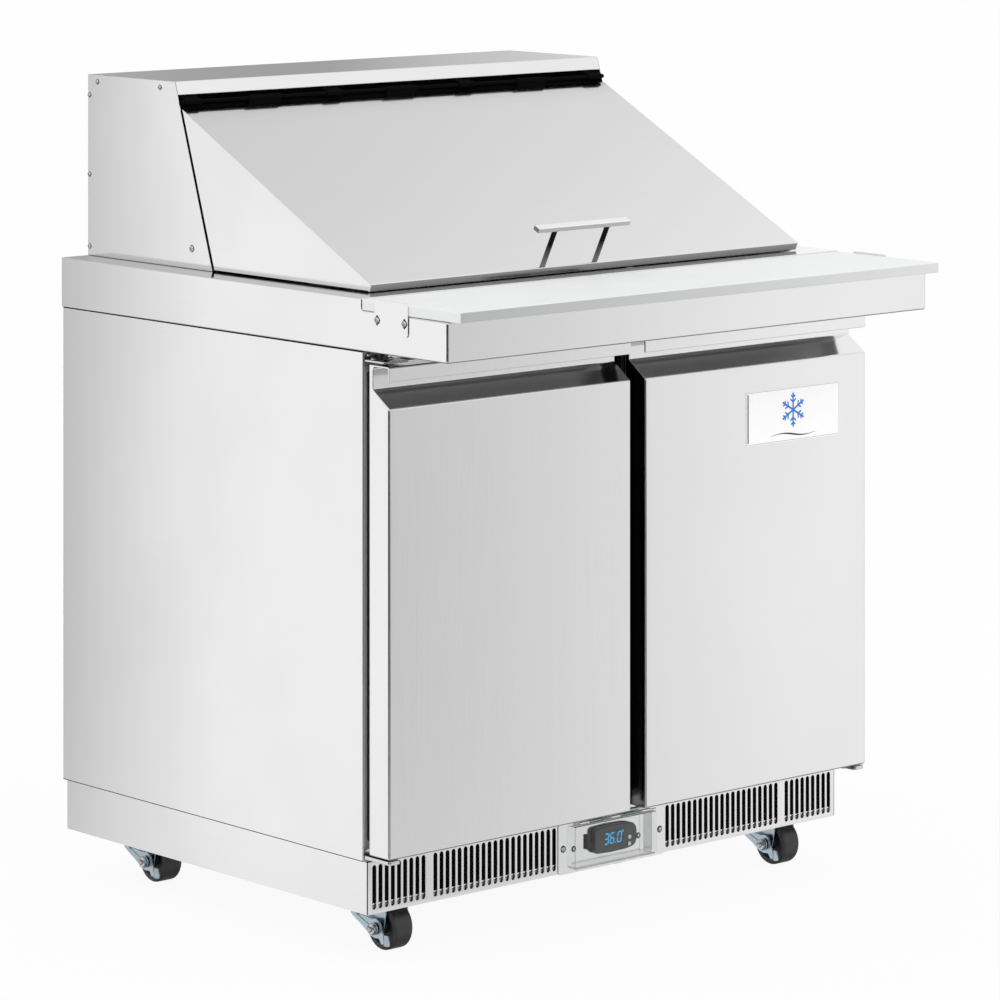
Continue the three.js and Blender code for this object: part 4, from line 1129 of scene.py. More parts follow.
# Magnetic gasket: a mitred frame with a dart, bellows and a magnet bulb.
GK = nb("left_door_gasket")
gy0, gy1 = GK[2], GK[3]
section = [(0.4, gy0 + 0.1), (0.0, gy0 + 2.2), (1.6, gy0 + 3.2), (0.5, gy0 + 4.4), (0.4, gy1 - 2.6), (1.2, gy1 - 0.5), (2.6, gy1),
           (8.6, gy1), (9.8, gy1 - 0.6), (10.4, gy1 - 2.4), (9.6, gy1 - 3.6), (11.6, gy0 + 3.6), (10.8, gy0 + 2.6), (12.6, gy0 + 1.9), (12.2, gy0 + 0.1)]
rings = []
for d, y in section:
    rings.append([(a, y, b) for a, b in rrect(GK[0] + d, GK[1] - d, GK[4] + d, GK[5] - d, 3.0, 3)])
gk = loft("left_door_magnetic_gasket", rings + [rings[0]], "rubber", (False, False), 40)
bm = bmesh.new()
bm.from_mesh(gk.data)
bmesh.ops.remove_doubles(bm, verts=bm.verts[:], dist=1e-6)
bmesh.ops.recalc_face_normals(bm, faces=bm.faces[:])
bm.to_mesh(gk.data)
bm.free()
finish_mesh(gk, "rubber", 40, weighted=False)
gkR = mirror_x(gk, "right_door_magnetic_gasket")
place(gk, "left_door", ["left_door_gasket"])
place(gkR, "right_door", ["right_door_gasket"])

# Hinges: bent leaves with pivot pins and screws.
UH = nb("left_upper_hinge")
PX, PYD = -446, -272


# Door hinge steel is a darker copy of the steel with ambient-occlusion darkening: painted shade under the worktop.
def hinge(tag, node, s):
    b = nb(node)
    up = b[5] > 500
    x0, x1 = (-461, -418) if up else (-461.2, -441)
    if up:
        leaf = prism(node + "_leaf", rrect(x0, x1, -290, -244.1, 4, 4), "z", 823.2, 826, "steel_hinge", 0.5, 2)
        flange = block(node + "_flange", x0, x1, -245.6, -244.1, 823.4, 836.3, "steel_hinge", 0.5)
        pinz = [(0, 818.7), (3.4, 818.7), (4, 819.4), (4, 822.9), (6.4, 822.9), (6.4, 826.6), (5.6, 827.4), (0, 827.6)]
    else:
        leaf = prism(node + "_leaf", rrect(x0, x1, -299, -244.3, 3.5, 4), "z", 143.9, 149.4, "steel_hinge", 0.9, 2)
        flange = block(node + "_flange", x0, -418, -245.6, -244.1, 140.5, 149.3, "steel_hinge", 0.5)
        pinz = [(0, 143.0), (5.6, 143.0), (6.2, 143.8), (4, 149.0), (4, 161.2), (3.3, 161.9), (0, 161.9)]
    pin_ = lathe(node + "_pivot", pinz, "z", (PX, PYD), "steel_hinge", 28)
    o = joined(node + "_assembly", [leaf, flange, pin_])
    if s > 0:
        o.data.transform(Matrix.Scale(-1, 4, (1, 0, 0)))
        o.data.flip_normals()
    place(o, "cabinet", [node])
    for i, x in enumerate((-454, -428) if up else (-425.5,)):
        if up:
            screw("%s_screw_%d" % (node, i), (s * -x, -263 if i else -256, 825.9), (0, 0, 1), 3.6)
            screw("%s_face_screw_%d" % (node, i), (s * -x, -245.5, 831), (0, -1, 0), 3.2)
        else:
            screw("%s_screw_%d" % (node, i), (s * -x, -245.5, 145), (0, -1, 0), 3.0)


for s, tag in ((-1, "left"), (1, "right")):
    hinge(tag, tag + "_upper_hinge", s)
    hinge(tag, tag + "_lower_hinge", s)

# Blank badge plate: plain border and a simple frost star.
BX0, BX1, BZ0, BZ1 = 213.5, 406.9, 646.5, 724.4
badge = prism("door_badge_plate", rrect(BX0, BX1, BZ0, BZ1, 1.2, 4), "y", DF - 0.65, DF - 0.02, "badge", 0.22, 2)
place(badge, "right_door", ())
edge = prism("door_badge_border", rrect(BX0 + 0.9, BX1 - 0.9, BZ0 + 0.9, BZ1 - 0.9, 0.9, 3), "y", DF - 0.72, DF - 0.6, "screw", 0,
             holes=[rrect(BX0 + 1.9, BX1 - 1.9, BZ0 + 1.9, BZ1 - 1.9, 0.6, 3)])
place(edge, "right_door", ())
bits = []
sx, sz, L = (BX0 + BX1) / 2, (BZ0 + BZ1) / 2 + 6, 25
for k in range(6):
    a = math.pi / 6 + k * math.pi / 3
    d = (math.cos(a), math.sin(a))
    n = (-d[1], d[0])

    def bar2(p, q, w):
        e = Vector((q[0] - p[0], q[1] - p[1]))
        e.normalize()
        m = (-e.y * w, e.x * w)
        return [(p[0] + m[0], p[1] + m[1]), (p[0] - m[0], p[1] - m[1]), (q[0] - m[0], q[1] - m[1]), (q[0] + m[0], q[1] + m[1])]
    bits.append(bar2((sx, sz), (sx + d[0] * L, sz + d[1] * L), 1.5))
    for f, g in ((0.45, 7.5), (0.72, 5.5)):
        for sg in (-1, 1):
            p = (sx + d[0] * L * f, sz + d[1] * L * f)
            q = (p[0] + (d[0] * 0.62 + n[0] * sg * 0.78) * g, p[1] + (d[1] * 0.62 + n[1] * sg * 0.78) * g)
            bits.append(bar2(p, q, 1.2))
rule = [prism("r", rrect(BX0 + 3.2, BX0 + 5.4, BZ0 + 3.5, BZ1 - 3.5, 0.6, 3), "y", DF - 0.76, DF - 0.62, "badge_bar", 0)]
wave = []
for k in range(25):
    t = k / 24
    wave.append((sx - 46 + 92 * t, BZ0 + 9.5 + 2.6 * math.sin(t * 2 * math.pi), 0.5 + 2.0 * math.sin(t * math.pi) ** 2))
pts_w = [(x, z + h / 2) for x, z, h in wave] + [(x, z - h / 2) for x, z, h in wave[::-1]]
rule.append(prism("w", pts_w, "y", DF - 0.76, DF - 0.62, "badge_bar", 0))
place(joined("door_badge_rule", rule), "right_door", ())
star = joined("door_badge_star", [prism("b", pts, "y", DF - 0.76 - 0.004 * i, DF - 0.62, "badge_mark", 0) for i, pts in enumerate(bits)])
place(star, "right_door", ())

# ------------------------------------------------------------------ intake grille
GR = nb("front_grille")
PITCH, SW, SZ0, SZ1 = 11.06, 6.9, GR[4] + 6.0, GR[5] - 4.9


def stadium(x, w, z0, z1, n=7):
    r = w / 2
    pts = []
    for zc, a0 in ((z1 - r, 0.0), (z0 + r, math.pi)):
        for i in range(n + 1):
            pts.append((x + r * math.cos(a0 + i * math.pi / n), zc + r * math.sin(a0 + i * math.pi / n)))
    return pts


def slotted(name, x0, x1, firsts, hole_half):
    """Stamped strip: each slot has a rolled-in lip."""
    holes = []
    for first, n in firsts:
        for i in range(n):
            holes.append(first + i * PITCH)
    bm = bmesh.new()
    yf, yb = GR[2], GR[2] + 0.8
    outer = [(x0, GR[4]), (x1, GR[4]), (x1, GR[5]), (x0, GR[5])]
    win = [(-81, 68.4), (81, 68.4), (81, 131.8), (-81, 131.8)]
    def loops(grow, y, o, wn):
        out = [[bm.verts.new(to3("y", a, b, y)) for a, b in o]]
        out.append([bm.verts.new(to3("y", a, b, y)) for a, b in wn])
        for x in holes:
            out.append([bm.verts.new(to3("y", a, b, y)) for a, b in stadium(x, SW + 2 * grow, SZ0 - grow, SZ1 + grow)])
        return out
    def fill(ls, pts2):
        tess = geometry.tessellate_polygon([[Vector((a, b, 0)) for a, b in lp] for lp in pts2])
        flat = [v for l in ls for v in l]
        for t in tess:
            vs = [flat[i] for i in t]
            if len(set(vs)) == 3:
                try:
                    bm.faces.new(vs)
                except ValueError:
                    pass
    def pts_of(grow, o):
        return [o, win] + [stadium(x, SW + 2 * grow, SZ0 - grow, SZ1 + grow) for x in holes]
    inner = [(x0 + 0.5, GR[4] + 0.5), (x1 - 0.5, GR[4] + 0.5), (x1 - 0.5, GR[5] - 0.5), (x0 + 0.5, GR[5] - 0.5)]
    g0, g1, g2 = 0.25, 0.08, 0.0
    A = loops(g0, yf, inner, win)
    B = loops(g1, yf + 0.08, outer, win)
    C = loops(g2, yf + 0.25, outer, win)
    D = loops(g2, yb, outer, win)
    fill(A, pts_of(g0, inner))
    fill(D, pts_of(g2, outer))
    for P, Q in ((A, B), (B, C), (C, D)):
        for lp, lq in zip(P, Q):
            n = len(lp)
            for i in range(n):
                bm.faces.new((lp[i], lp[(i + 1) % n], lq[(i + 1) % n], lq[i]))
    return obj_from_bm(bm, name, "steel_x", 32)


grille = slotted("front_intake_grille", GR[0], GR[1], [(-441.6, 9), (-331.4, 21), (110.1, 21), (353.1, 9)], 81)
bm = bmesh.new()
bm.from_mesh(grille.data)
bmesh.ops.remove_doubles(bm, verts=bm.verts[:], dist=1e-6)
bmesh.ops.recalc_face_normals(bm, faces=bm.faces[:])
bm.to_mesh(grille.data)
bm.free()
finish_mesh(grille, "steel_x", 32, weighted=False)
wraps = [block("grille_wrap", s * 453.75 if s < 0 else 452.6, s * 452.6 if s < 0 else 453.75, GR[2] + 1.25, GR[2] + 2.1, GR[4] + 0.3, GR[5] - 0.3, "steel_x", 0) for s in (-1, 1)]
grille = joined("front_intake_grille", [grille] + wraps)
place(grille, "cabinet", ["front_grille"])

# ------------------------------------------------------------------ control box
CB = nb("control_bezel")
PY0 = -245.3
bez = prism("bezel_plate", rrect(CB[0], CB[1], CB[4], CB[5], 4.5, 6), "y", PY0, PY0 + 1.2, "steel_x", 0.32, 2,
            holes=[rrect(-78.2, 78.2, 71.3, 129.1, 1.6, 4)])
wall_out = rrect(-79.4, 79.4, 70.1, 130.3, 2.4, 4)
wall_in = rrect(-78.2, 78.2, 71.3, 129.1, 1.6, 4)
bm = bmesh.new()
yA, yB, yC = PY0 + 1.2, -236.4, -235.2
ro = [[bm.verts.new(to3("y", a, b, y)) for a, b in wall_out] for y in (yA, yC)]
ri = [[bm.verts.new(to3("y", a, b, y)) for a, b in wall_in] for y in (yA, yB)]
n = len(wall_out)
for i in range(n):
    j = (i + 1) % n
    bm.faces.new((ro[0][i], ro[0][j], ro[1][j], ro[1][i]))
    bm.faces.new((ri[0][i], ri[0][j], ri[1][j], ri[1][i]))
    bm.faces.new((ro[0][i], ro[0][j], ri[0][j], ri[0][i]))
bm.faces.new(ri[1])
bm.faces.new(ro[1])
tray = obj_from_bm(bm, "bezel_tray", "steel_x", 35)
HY, HZ = -251.6, 134.2
knk = []
for x in (-60, 0, 60):
    knk.append(lathe("kn", [(0, x - 9), (1.8, x - 9), (2.2, x - 8.5), (2.2, x + 8.5), (1.8, x + 9), (0, x + 9)], "x", (HY, HZ), "steel_x", 20))
    knk.append(block("kl", x - 8.6, x + 8.6, HY, PY0 + 0.3, 133.9, 135.5, "steel_x", 0.3))
knk.append(lathe("kp", [(0, -80), (0.7, -80), (0.9, -79.7), (0.9, 79.7), (0.7, 80), (0, 80)], "x", (HY, HZ), "zinc", 14))
bezel = joined("control_bezel_assembly", [bez, tray] + knk)
place(bezel, "cabinet", ["control_bezel"])
for i, x in enumerate((-94, 94)):
    screw("bezel_screw_%d" % i, (x, PY0 + 0.05, 100.8), (0, -1, 0), 4.2)
for i, x in enumerate((-66, 60)):
    screw("tray_screw_%d" % i, (x, -236.35, 95.4), (0, -1, 0), 3.6)

TC = nb("temperature_controller")
co = [(-32.5, 87), (-28.5, 83.4), (0, 82.2), (30, 83), (44, 85.5), (48.5, 92), (49.5, 101), (48.5, 111), (44, 118), (30, 120.2), (0, 121), (-28.5, 119.6), (-32.5, 116)]
co_s = fillet(co, 14, 5, closed=True)
case = rounded_prism("controller_case", co_s, "y", TC[2], -236.8, "case", [2.4] * len(co_s), 5)
glassy = plastic("controller_window", (0.072, 0.073, 0.076), 0.34, 900, 0.05, 0.00003, 0.08)
win_o = prism("controller_window", rrect(-27, 24.5, 88.5, 114.5, 3.2, 5), "y", TC[2] - 0.12, TC[2] + 0.3, glassy, 0.1, 1)
clip = block("controller_clip", -43.4, -36.0, -241.5, -236.8, 91, 112, "case_dark", 1.2, 3)
ribs = [block("controller_clip_rib", -42.4, -37.0, -242.3, -241.4, 94.6 + i * 3.5, 96.2 + i * 3.5, "case_dark", 0.4) for i in range(5)]
rings = []
for x, z in ((33.9, 99.2), (33.4, 89.6)):
    rings.append(lathe("bring", [(3.3, TC[2] - 0.05), (3.35, TC[2] - 0.35), (3.9, TC[2] - 0.35), (4.1, TC[2] + 0.1)], "y", (x, z), "case_dark", 28))
ctl = joined("temperature_controller_case", [case, clip] + ribs + rings)
place(ctl, "cabinet", ["temperature_controller"])
place(win_o, "cabinet", ())

# Seven-segment figures, slanted, behind the window face.
SEG = {"0": "abcdef", "1": "bc", "2": "abged", "3": "abgcd", "4": "fgbc", "5": "afgcd", "6": "afgedc", "7": "abc", "8": "abcdefg", "9": "abcdfg"}


def digit(ch, x, z, w, h, t, slant=0.14):
    out = []
    g = 0.35
    m = z + h / 2

    def seg(x0, z0, x1, z1):
        if abs(z1 - z0) < 0.01:
            return [(x0 + g, z0), (x0 + g + t / 2, z0 + t / 2), (x1 - g - t / 2, z0 + t / 2), (x1 - g, z0), (x1 - g - t / 2, z0 - t / 2), (x0 + g + t / 2, z0 - t / 2)]
        return [(x0, z0 + g), (x0 + t / 2, z0 + g + t / 2), (x0 + t / 2, z1 - g - t / 2), (x0, z1 - g), (x0 - t / 2, z1 - g - t / 2), (x0 - t / 2, z0 + g + t / 2)]
    spots = {"a": (x, z + h, x + w, z + h), "g": (x, m, x + w, m), "d": (x, z, x + w, z), "f": (x, m, x, z + h), "b": (x + w, m, x + w, z + h),
             "e": (x, z, x, m), "c": (x + w, z, x + w, m)}
    for s in SEG[ch]:
        out.append([(a + (b - z) * slant, b) for a, b in seg(*spots[s])])
    return out


figs = []
DZ, DH = 95.4, 14.2
for ch, x in (("3", -15.5), ("6", -4.6), ("0", 9.4)):
    figs += digit(ch, x, DZ, 7.0, DH, 1.75)
figs.append(rrect(5.2, 6.9, DZ - 0.9, DZ + 0.8, 0.6, 3))
figs_o = [prism("fig", p, "y", TC[2] - 0.2, TC[2] - 0.05, "digits", 0) for p in figs]
figs_o.append(prism("deg", circle(20.6, DZ + DH + 0.2, 1.7, 20), "y", TC[2] - 0.2, TC[2] - 0.05, "digits", 0, holes=[circle(20.6, DZ + DH + 0.2, 0.9, 16)]))
place(joined("controller_display_digits", figs_o), "cabinet", ())

for node, body in (("controller_set_button", "set_button"), ("controller_power_button", "power_button")):
    b = nb(node)
    cx, cz = (b[0] + b[1]) / 2, (b[4] + b[5]) / 2
    o = lathe(node + "_cap", [(0, b[2] + 0.25), (1.2, b[2] + 0.18), (2.3, b[2]), (2.8, b[2] + 0.12), (3.1, b[2] + 0.55), (3.1, b[3]), (0, b[3])], "y", (cx, cz), "button", 28)
    place(o, body, [node])

# Clear flap over the controller.
CC = nb("control_cover")
fo = rrect(CC[0], CC[1], 70.2, 131.4, 3.0, 5)
fi = rrect(CC[0] + 1.5, CC[1] - 1.5, 71.7, 129.9, 1.8, 5)
bm = bmesh.new()
R = []
for pts, y in ((fo, -245.7), (fo, CC[2] + 0.8), (rrect(CC[0] + 0.3, CC[1] - 0.3, 70.5, 131.1, 2.8, 5), CC[2] + 0.25), (rrect(CC[0] + 1.5, CC[1] - 1.5, 71.7, 129.9, 1.9, 5), CC[2])):
    R.append([bm.verts.new(to3("y", a, b, y)) for a, b in pts])
n = len(fo)
for A, B in zip(R, R[1:]):
    for i in range(n):
        bm.faces.new((A[i], A[(i + 1) % n], B[(i + 1) % n], B[i]))
bm.faces.new(R[-1])
I = [[bm.verts.new(to3("y", a, b, y)) for a, b in fi] for y in (-245.7, CC[2] + 1.5)]
for i in range(n):
    bm.faces.new((I[0][i], I[0][(i + 1) % n], I[1][(i + 1) % n], I[1][i]))
    bm.faces.new((R[0][i], R[0][(i + 1) % n], I[0][(i + 1) % n], I[0][i]))
bm.faces.new(I[1])
flap = obj_from_bm(bm, "flap", "clear", 30)
# The flap's slanted side faces pass much less light, so its edges read dark: painted shade in place of the edge
# reflections.
flap.data.materials.append(M["clear_edge"])
for f in flap.data.polygons:
    if 0.15 < abs(f.normal.y) < 0.95:
        f.material_index = 1
tab = prism("flap_tab", fillet([(-3, 70.8), (13, 70.8), (13, 67.4), (-3, 67.4)], [0, 0, 1.6, 1.6], 5, closed=True), "y", CC[2], CC[2] + 1.5, "clear", 0.25, 1)
lugs = []
for x in (-30, 30):
    lugs.append(lathe("lug", [(1.35, x - 19), (2.0, x - 19), (2.2, x - 18.7), (2.2, x + 18.7), (2.0, x + 19), (1.35, x + 19)], "x", (HY, HZ), "clear", 20, closed=True))
flap = joined("control_cover_flap", [flap, tab] + lugs)
place(flap, "control_cover", ["control_cover"])

# ------------------------------------------------------------------ casters
WR = 31.75


def caster_parts():
    """Fork, wheel and brake lever in the caster's own frame (origin at the axle)."""
    path = [(20.6, -9.2), (20.6, 36), (-20.6, 36), (-20.6, -9.2)]
    u = folded("fork_u", path, 2.4, 3.4, "y", -16, 45, "zinc")
    if min(v.co.x for v in u.data.vertices) < -0.0207:
        path = path[::-1]
        bpy.data.objects.remove(u)
        u = folded("fork_u", path, 2.4, 3.4, "y", -16, 45, "zinc")
    outline = fillet([(-15, 40), (-15, 20), (-10.5, -3), (-6.5, -9), (6.5, -9), (12.5, -3), (43, 27), (44, 40)], [0, 14, 6, 7, 7, 14, 9, 0], 6, closed=True)
    cookie = prism("cookie", outline, "x", -30, 30, None)
    boolean(u, [cookie], "INTERSECT")
    soften(u, 0.45, 2, 40)
    u.data.materials.clear()
    u.data.materials.append(M["zinc"])
    drum = lathe("drum", [(0, 35.7), (16.4, 35.7), (17.6, 36.4), (18, 37.4), (17.2, 38.1), (15.6, 38.3), (15.6, 38.8), (17.4, 39.1), (18, 39.8), (17.4, 40.8), (15, 41.25), (0, 41.25)],
                 "z", (0, 25), "zinc", 44)
    king = lathe("king", [(0, 28.6), (5.4, 28.6), (6.3, 29.2), (6.3, 33.4), (0, 33.4)], "z", (0, 25), "zinc", 6, 20)
    bolt = lathe("bolt", [(0, -38.9), (2.6, -38.9), (3.4, -38.2), (3.4, -37.6), (3.9, -37.3), (3.4, -37.0), (3.9, -36.7), (3.4, -36.4), (3.9, -36.1), (3.9, 23.2), (0, 23.2)], "x", (0, 0), "nut", 24)
    hexn = lathe("hexnut", [(0, -36.4), (6.7, -36.4), (8.4, -35.5), (8.4, -31.6), (7.4, -30.8), (0, -30.8)], "x", (0, 0), "nut", 6, 20)
    head = lathe("hexhead", [(0, 25.0), (6.4, 25.0), (7.9, 24.3), (7.9, 20.7), (0, 20.7)], "x", (0, 0), "nut", 6, 20)
    washer = lathe("washer", [(0, -30.7), (8.3, -30.7), (8.7, -30.3), (8.7, -29.4), (8.2, -29.0), (0, -29.0)], "x", (0, 0), "zinc", 30)
    spacer = lathe("spacer", [(4.0, -24.8), (7.0, -24.8), (7.0, -20.7), (4.0, -20.7)], "x", (0, 0), "black_metal", 28, closed=True)
    fork = joined("fork", [u, drum, king, bolt, hexn, head, washer, spacer])
    prof = [(22.3, -14.2), (22.6, -15.4), (23.4, -16)]
    for i in range(6):
        a = math.radians(90 - i * 18)
        prof.append((WR - 4.2 + 4.2 * math.cos(a), -16 + 4.2 * (1 - math.sin(a))))
    prof += [(WR, -6), (WR + 0.0, 0)]
    prof = prof + [(r, -h) for r, h in prof[::-1][1:]]
    prof += [(22.3, 14.2)]
    tyre = lathe("tyre", prof, "x", (0, 0), "tread", 72, closed=True)
    core = lathe("core", [(4.6, -14), (8.2, -14), (8.8, -13.4), (9.2, -11.2), (19, -11.8), (20.6, -13.6), (22.2, -14), (22.2, 14), (20.6, 13.6), (19, 11.8), (9.2, 11.2), (8.8, 13.4), (8.2, 14), (4.6, 14)],
                 "x", (0, 0), "core", 60, closed=True)
    wheel = joined("wheel", [tyre, core])
    lev = fillet([(-13, 2), (-10, 10), (-2, 14), (8, 12), (26, 14), (44, 21.5), (51.5, 20), (52, 12.5), (44, 8), (26, -1), (10, -11), (0, -13), (-9, -12), (-14, -20), (-19, -18), (-18, -8)],
                 [4, 5, 6, 8, 20, 4, 3, 4, 10, 16, 8, 6, 4, 3, 3, 6], 5, closed=True)
    plate_ = prism("lever_plate", lev, "x", -27.6, -25.2, "zinc", 0.6, 2, holes=[circle(0, 0, 4.75, 28)])
    pad = prism("lever_pad2", fillet([(31, 13.9), (50.5, 21.4), (50.0, 23.2), (30.4, 15.8)], 0.6, 3, closed=True), "x", -34.2, -25.6, "zinc", 0.5, 2)
    t2 = prism("lever_tab", fillet([(-27.5, -5.5), (-18.4, -8.5), (-17.9, -23.4), (-27.5, -21)], [1.2, 2.2, 2.2, 1.2], 4, closed=True), "y", -20.8, -18.6, "zinc", 0.5, 2)
    rib = prism("lever_rib", fillet([(8, 2), (40, 14.2), (38.6, 11.2), (9.6, -1.8)], 1.3, 3, closed=True), "x", -28.5, -27.4, "zinc", 0.6, 2)
    lever = joined("lever", [plate_, pad, t2, rib])
    return fork, wheel, lever


fork0, wheel0, lever0 = caster_parts()
for end in ("front", "rear"):
    for sd in ("left", "right"):
        wn = "%s_%s_caster_wheel" % (end, sd)
        w = nb(wn)
        at = Matrix.Translation(Vector(((w[0] + w[1]) / 2, (w[2] + w[3]) / 2, (w[4] + w[5]) / 2)) * MM)
        for src, node, body, nm in ((fork0, "%s_%s_caster_fork" % (end, sd), "%s_%s_caster" % (end, sd), "%s_%s_fork_assembly"),
                                    (wheel0, wn, "%s_%s_wheel" % (end, sd), "%s_%s_wheel_assembly"),
                                    (lever0, "%s_%s_brake_lever" % (end, sd), "%s_%s_brake" % (end, sd), "%s_%s_brake_pedal")):
            o = src.copy()
            o.data = src.data.copy()
            o.name = nm % (end, sd)
            SC.collection.objects.link(o)
            o.data.transform(at)
            place(o, body, [node])
        cx, cy = (w[0] + w[1]) / 2, (w[2] + w[3]) / 2 + 25
        for i, (dx, dy) in enumerate(((-27, -21), (27, -21), (-27, 21), (27, 21))):
            b = lathe("%s_%s_plate_bolt_%d" % (end, sd, i), [(0, 70.9), (4.3, 70.9), (4.9, 71.4), (4.9, 73.3), (0, 73.3)], "z", (cx + dx, cy + dy), "nut", 6, 20)
            place(b, "cabinet", ())
for o in (fork0, wheel0, lever0):
    bpy.data.objects.remove(o)

# ------------------------------------------------------------------ inside the cabinet
WS = nb("wire_shelf")
wires = []
loop = [(a, b, 473) for a, b in rrect(WS[0] + 3, WS[1] - 3, WS[2] + 3, WS[3] - 3, 14, 6)]
wires.append(tube("w", loop, 3.0, "galv", 12, closed=True))
for y in (-32, 122):
    wires.append(tube("w", [(WS[0] + 3, y, 473), (WS[1] - 3, y, 473)], 2.6, "galv", 10))
nw = 26
for i in range(nw + 1):
    x = WS[0] + 14 + (WS[1] - WS[0] - 28) * i / nw
    wires.append(tube("w", [(x, WS[2] + 1.6, 474.2), (x, WS[2] + 2.6, 476.2), (x, WS[3] - 2.6, 476.2), (x, WS[3] - 1.6, 474.2)], 1.7, "galv", 8))
place(joined("wire_shelf_welded", wires), "cabinet", ["wire_shelf"])
for i, (x, y) in enumerate(((-1, -120), (-1, 220), (1, -120), (1, 220))):
    c = prism("shelf_clip_%d" % i, fillet([(0, 468.5), (9, 468.5), (9, 472), (7, 472), (7, 470), (2, 470), (2, 478), (0, 478)], 0.4, 2, closed=True), "y", y - 9, y + 9, "zinc", 0.3, 1)
    if x < 0:
        c.data.transform(Matrix.Translation(Vector((-413.1, 0, 0)) * MM))
    else:
        c.data.transform(Matrix.Translation(Vector((413.1, 0, 0)) * MM) @ Matrix.Scale(-1, 4, (1, 0, 0)))
        c.data.flip_normals()
    place(c, "cabinet", ())

EC = nb("evaporator_cover")
cov = prism("evap_shell", rrect(EC[0], EC[1], EC[4], EC[5], 6, 5), "y", 296.2, EC[3], "alu", 0, holes=[rrect(EC[0] + 1.6, EC[1] - 1.6, EC[4] + 1.6, EC[5] - 1.6, 4.6, 5)])
facep = prism("evap_face", rrect(EC[0], EC[1], EC[4], EC[5], 6, 5), "y", 294.9 + 1.2, 297.8, "alu", 0.5, 2, holes=[circle(0, 470, 74, 48)])
guard = []
for r in (20, 32, 44, 56, 68):
    guard.append(tube("g", [(r * math.cos(a), 297.4, 470 + r * math.sin(a)) for a in [2 * math.pi * i / 48 for i in range(48)]], 0.95, "zinc", 8, closed=True))
for k in range(4):
    a = math.pi / 4 + k * math.pi / 2
    guard.append(tube("g", [(18 * math.cos(a), 299.0, 470 + 18 * math.sin(a)), (80 * math.cos(a), 299.0, 470 + 80 * math.sin(a))], 1.2, "zinc", 8))
place(joined("evaporator_cover_panel", [cov, facep] + guard), "cabinet", ["evaporator_cover"])
EV = nb("evaporator_coil")
fins = plates("evap_fins", "x", [(EV[2] + 1, EV[4] + 2), (EV[3] - 1, EV[4] + 2), (EV[3] - 1, EV[5] - 2), (EV[2] + 1, EV[5] - 2)], [EV[0] + 8 + i * 5.1 for i in range(89)], 0.35, "fin")
ends = [block("evap_end", x, x + 1.4, EV[2], EV[3], EV[4], EV[5], "alu", 0.3) for x in (EV[0] + 5, EV[1] - 6.4)]
tb = []
for i in range(6):
    z = EV[4] + 14 + i * 25.6
    for y in (EV[2] + 12, EV[3] - 12):
        tb.append(tube("t", [(EV[0] + 5, y, z), (EV[1] - 5, y, z)], 4.0, "copper", 12))
for i in range(6):
    z = EV[4] + 14 + i * 25.6
    for s, x in ((-1, EV[0] + 5), (1, EV[1] - 5)):
        c = [(x + s * 4.6 * math.sin(math.pi * k / 8) * 1.0, (EV[2] + EV[3]) / 2 - 9.5 * math.cos(math.pi * k / 8), z) for k in range(9)]
        tb.append(tube("t", c, 3.6, "copper", 10))
place(joined("evaporator_fin_coil", [fins] + ends + tb), "cabinet", ["evaporator_coil"])
EF = nb("evaporator_fan")
place(fan_rotor("evaporator_fan_rotor", ((EF[0] + EF[1]) / 2, (EF[2] + EF[3]) / 2, (EF[4] + EF[5]) / 2), (EF[1] - EF[0]) / 2, 17, 24, 5, "fanblade", sweep=0.85), "evaporator_fan", ["evaporator_fan"])
motor = lathe("evaporator_fan_motor", [(0, 333), (15, 333), (17, 334.5), (17, 343.5), (14, 344.4), (0, 344.4)], "y", (0, 470), "black_metal", 36)
place(motor, "cabinet", ())

CD = nb("condenser_coil")
fins = plates("cond_fins", "x", [(CD[2] + 1, CD[4] + 2), (CD[2] + 43, CD[4] + 2), (CD[2] + 43, CD[5] - 2), (CD[2] + 1, CD[5] - 2)], [CD[0] + 4 + i * 3.6 for i in range(60)], 0.3, "black_metal")
shroud = prism("cond_shroud", rrect(CD[0], CD[1], CD[4], CD[5], 4, 4), "y", CD[2] + 44, CD[2] + 46, "black_metal", 0.5, 2, holes=[circle(-280, 194, 101, 64)])
ringp = lathe("cond_ring", [(101, CD[2] + 45), (101, CD[2] + 76), (103.5, CD[2] + 78), (103.5, CD[2] + 76), (102.6, CD[2] + 74.6), (102.6, CD[2] + 45)], "y", (-280, 194), "black_metal", 72, closed=True)
mot = lathe("cond_motor", [(0, CD[2] + 70), (26, CD[2] + 70), (30, CD[2] + 74), (30, CD[2] + 104), (25, CD[2] + 110), (10, CD[2] + 111.5), (0, CD[2] + 112)], "y", (-280, 194), "black_metal", 48)
arms = [tube("arm", [(-280 + 26 * math.cos(a), CD[2] + 77, 194 + 26 * math.sin(a)), (-280 + 102 * math.cos(a), CD[2] + 77, 194 + 102 * math.sin(a))], 1.8, "zinc", 8) for a in [math.pi / 6 + k * 2 * math.pi / 3 for k in range(3)]]
tb = []
for i in range(8):
    z = CD[4] + 16 + i * 27.4
    for s, x in ((-1, CD[0] + 3.6), (1, CD[1] - 3.6)):
        c = [(x - s * 2.0 + s * 5.2 * math.sin(math.pi * k / 8), CD[2] + 22 - 9 * math.cos(math.pi * k / 8), z) for k in range(9)]
        tb.append(tube("t", c, 3.4, "copper", 10))
place(joined("condenser_assembly", [fins, shroud, ringp, mot] + arms + tb), "cabinet", ["condenser_coil"])
CF = nb("condenser_fan")
place(fan_rotor("condenser_fan_rotor", ((CF[0] + CF[1]) / 2, (CF[2] + CF[3]) / 2, (CF[4] + CF[5]) / 2), (CF[1] - CF[0]) / 2, 24, 17, 5, "alu", sweep=0.95), "condenser_fan", ["condenser_fan"])

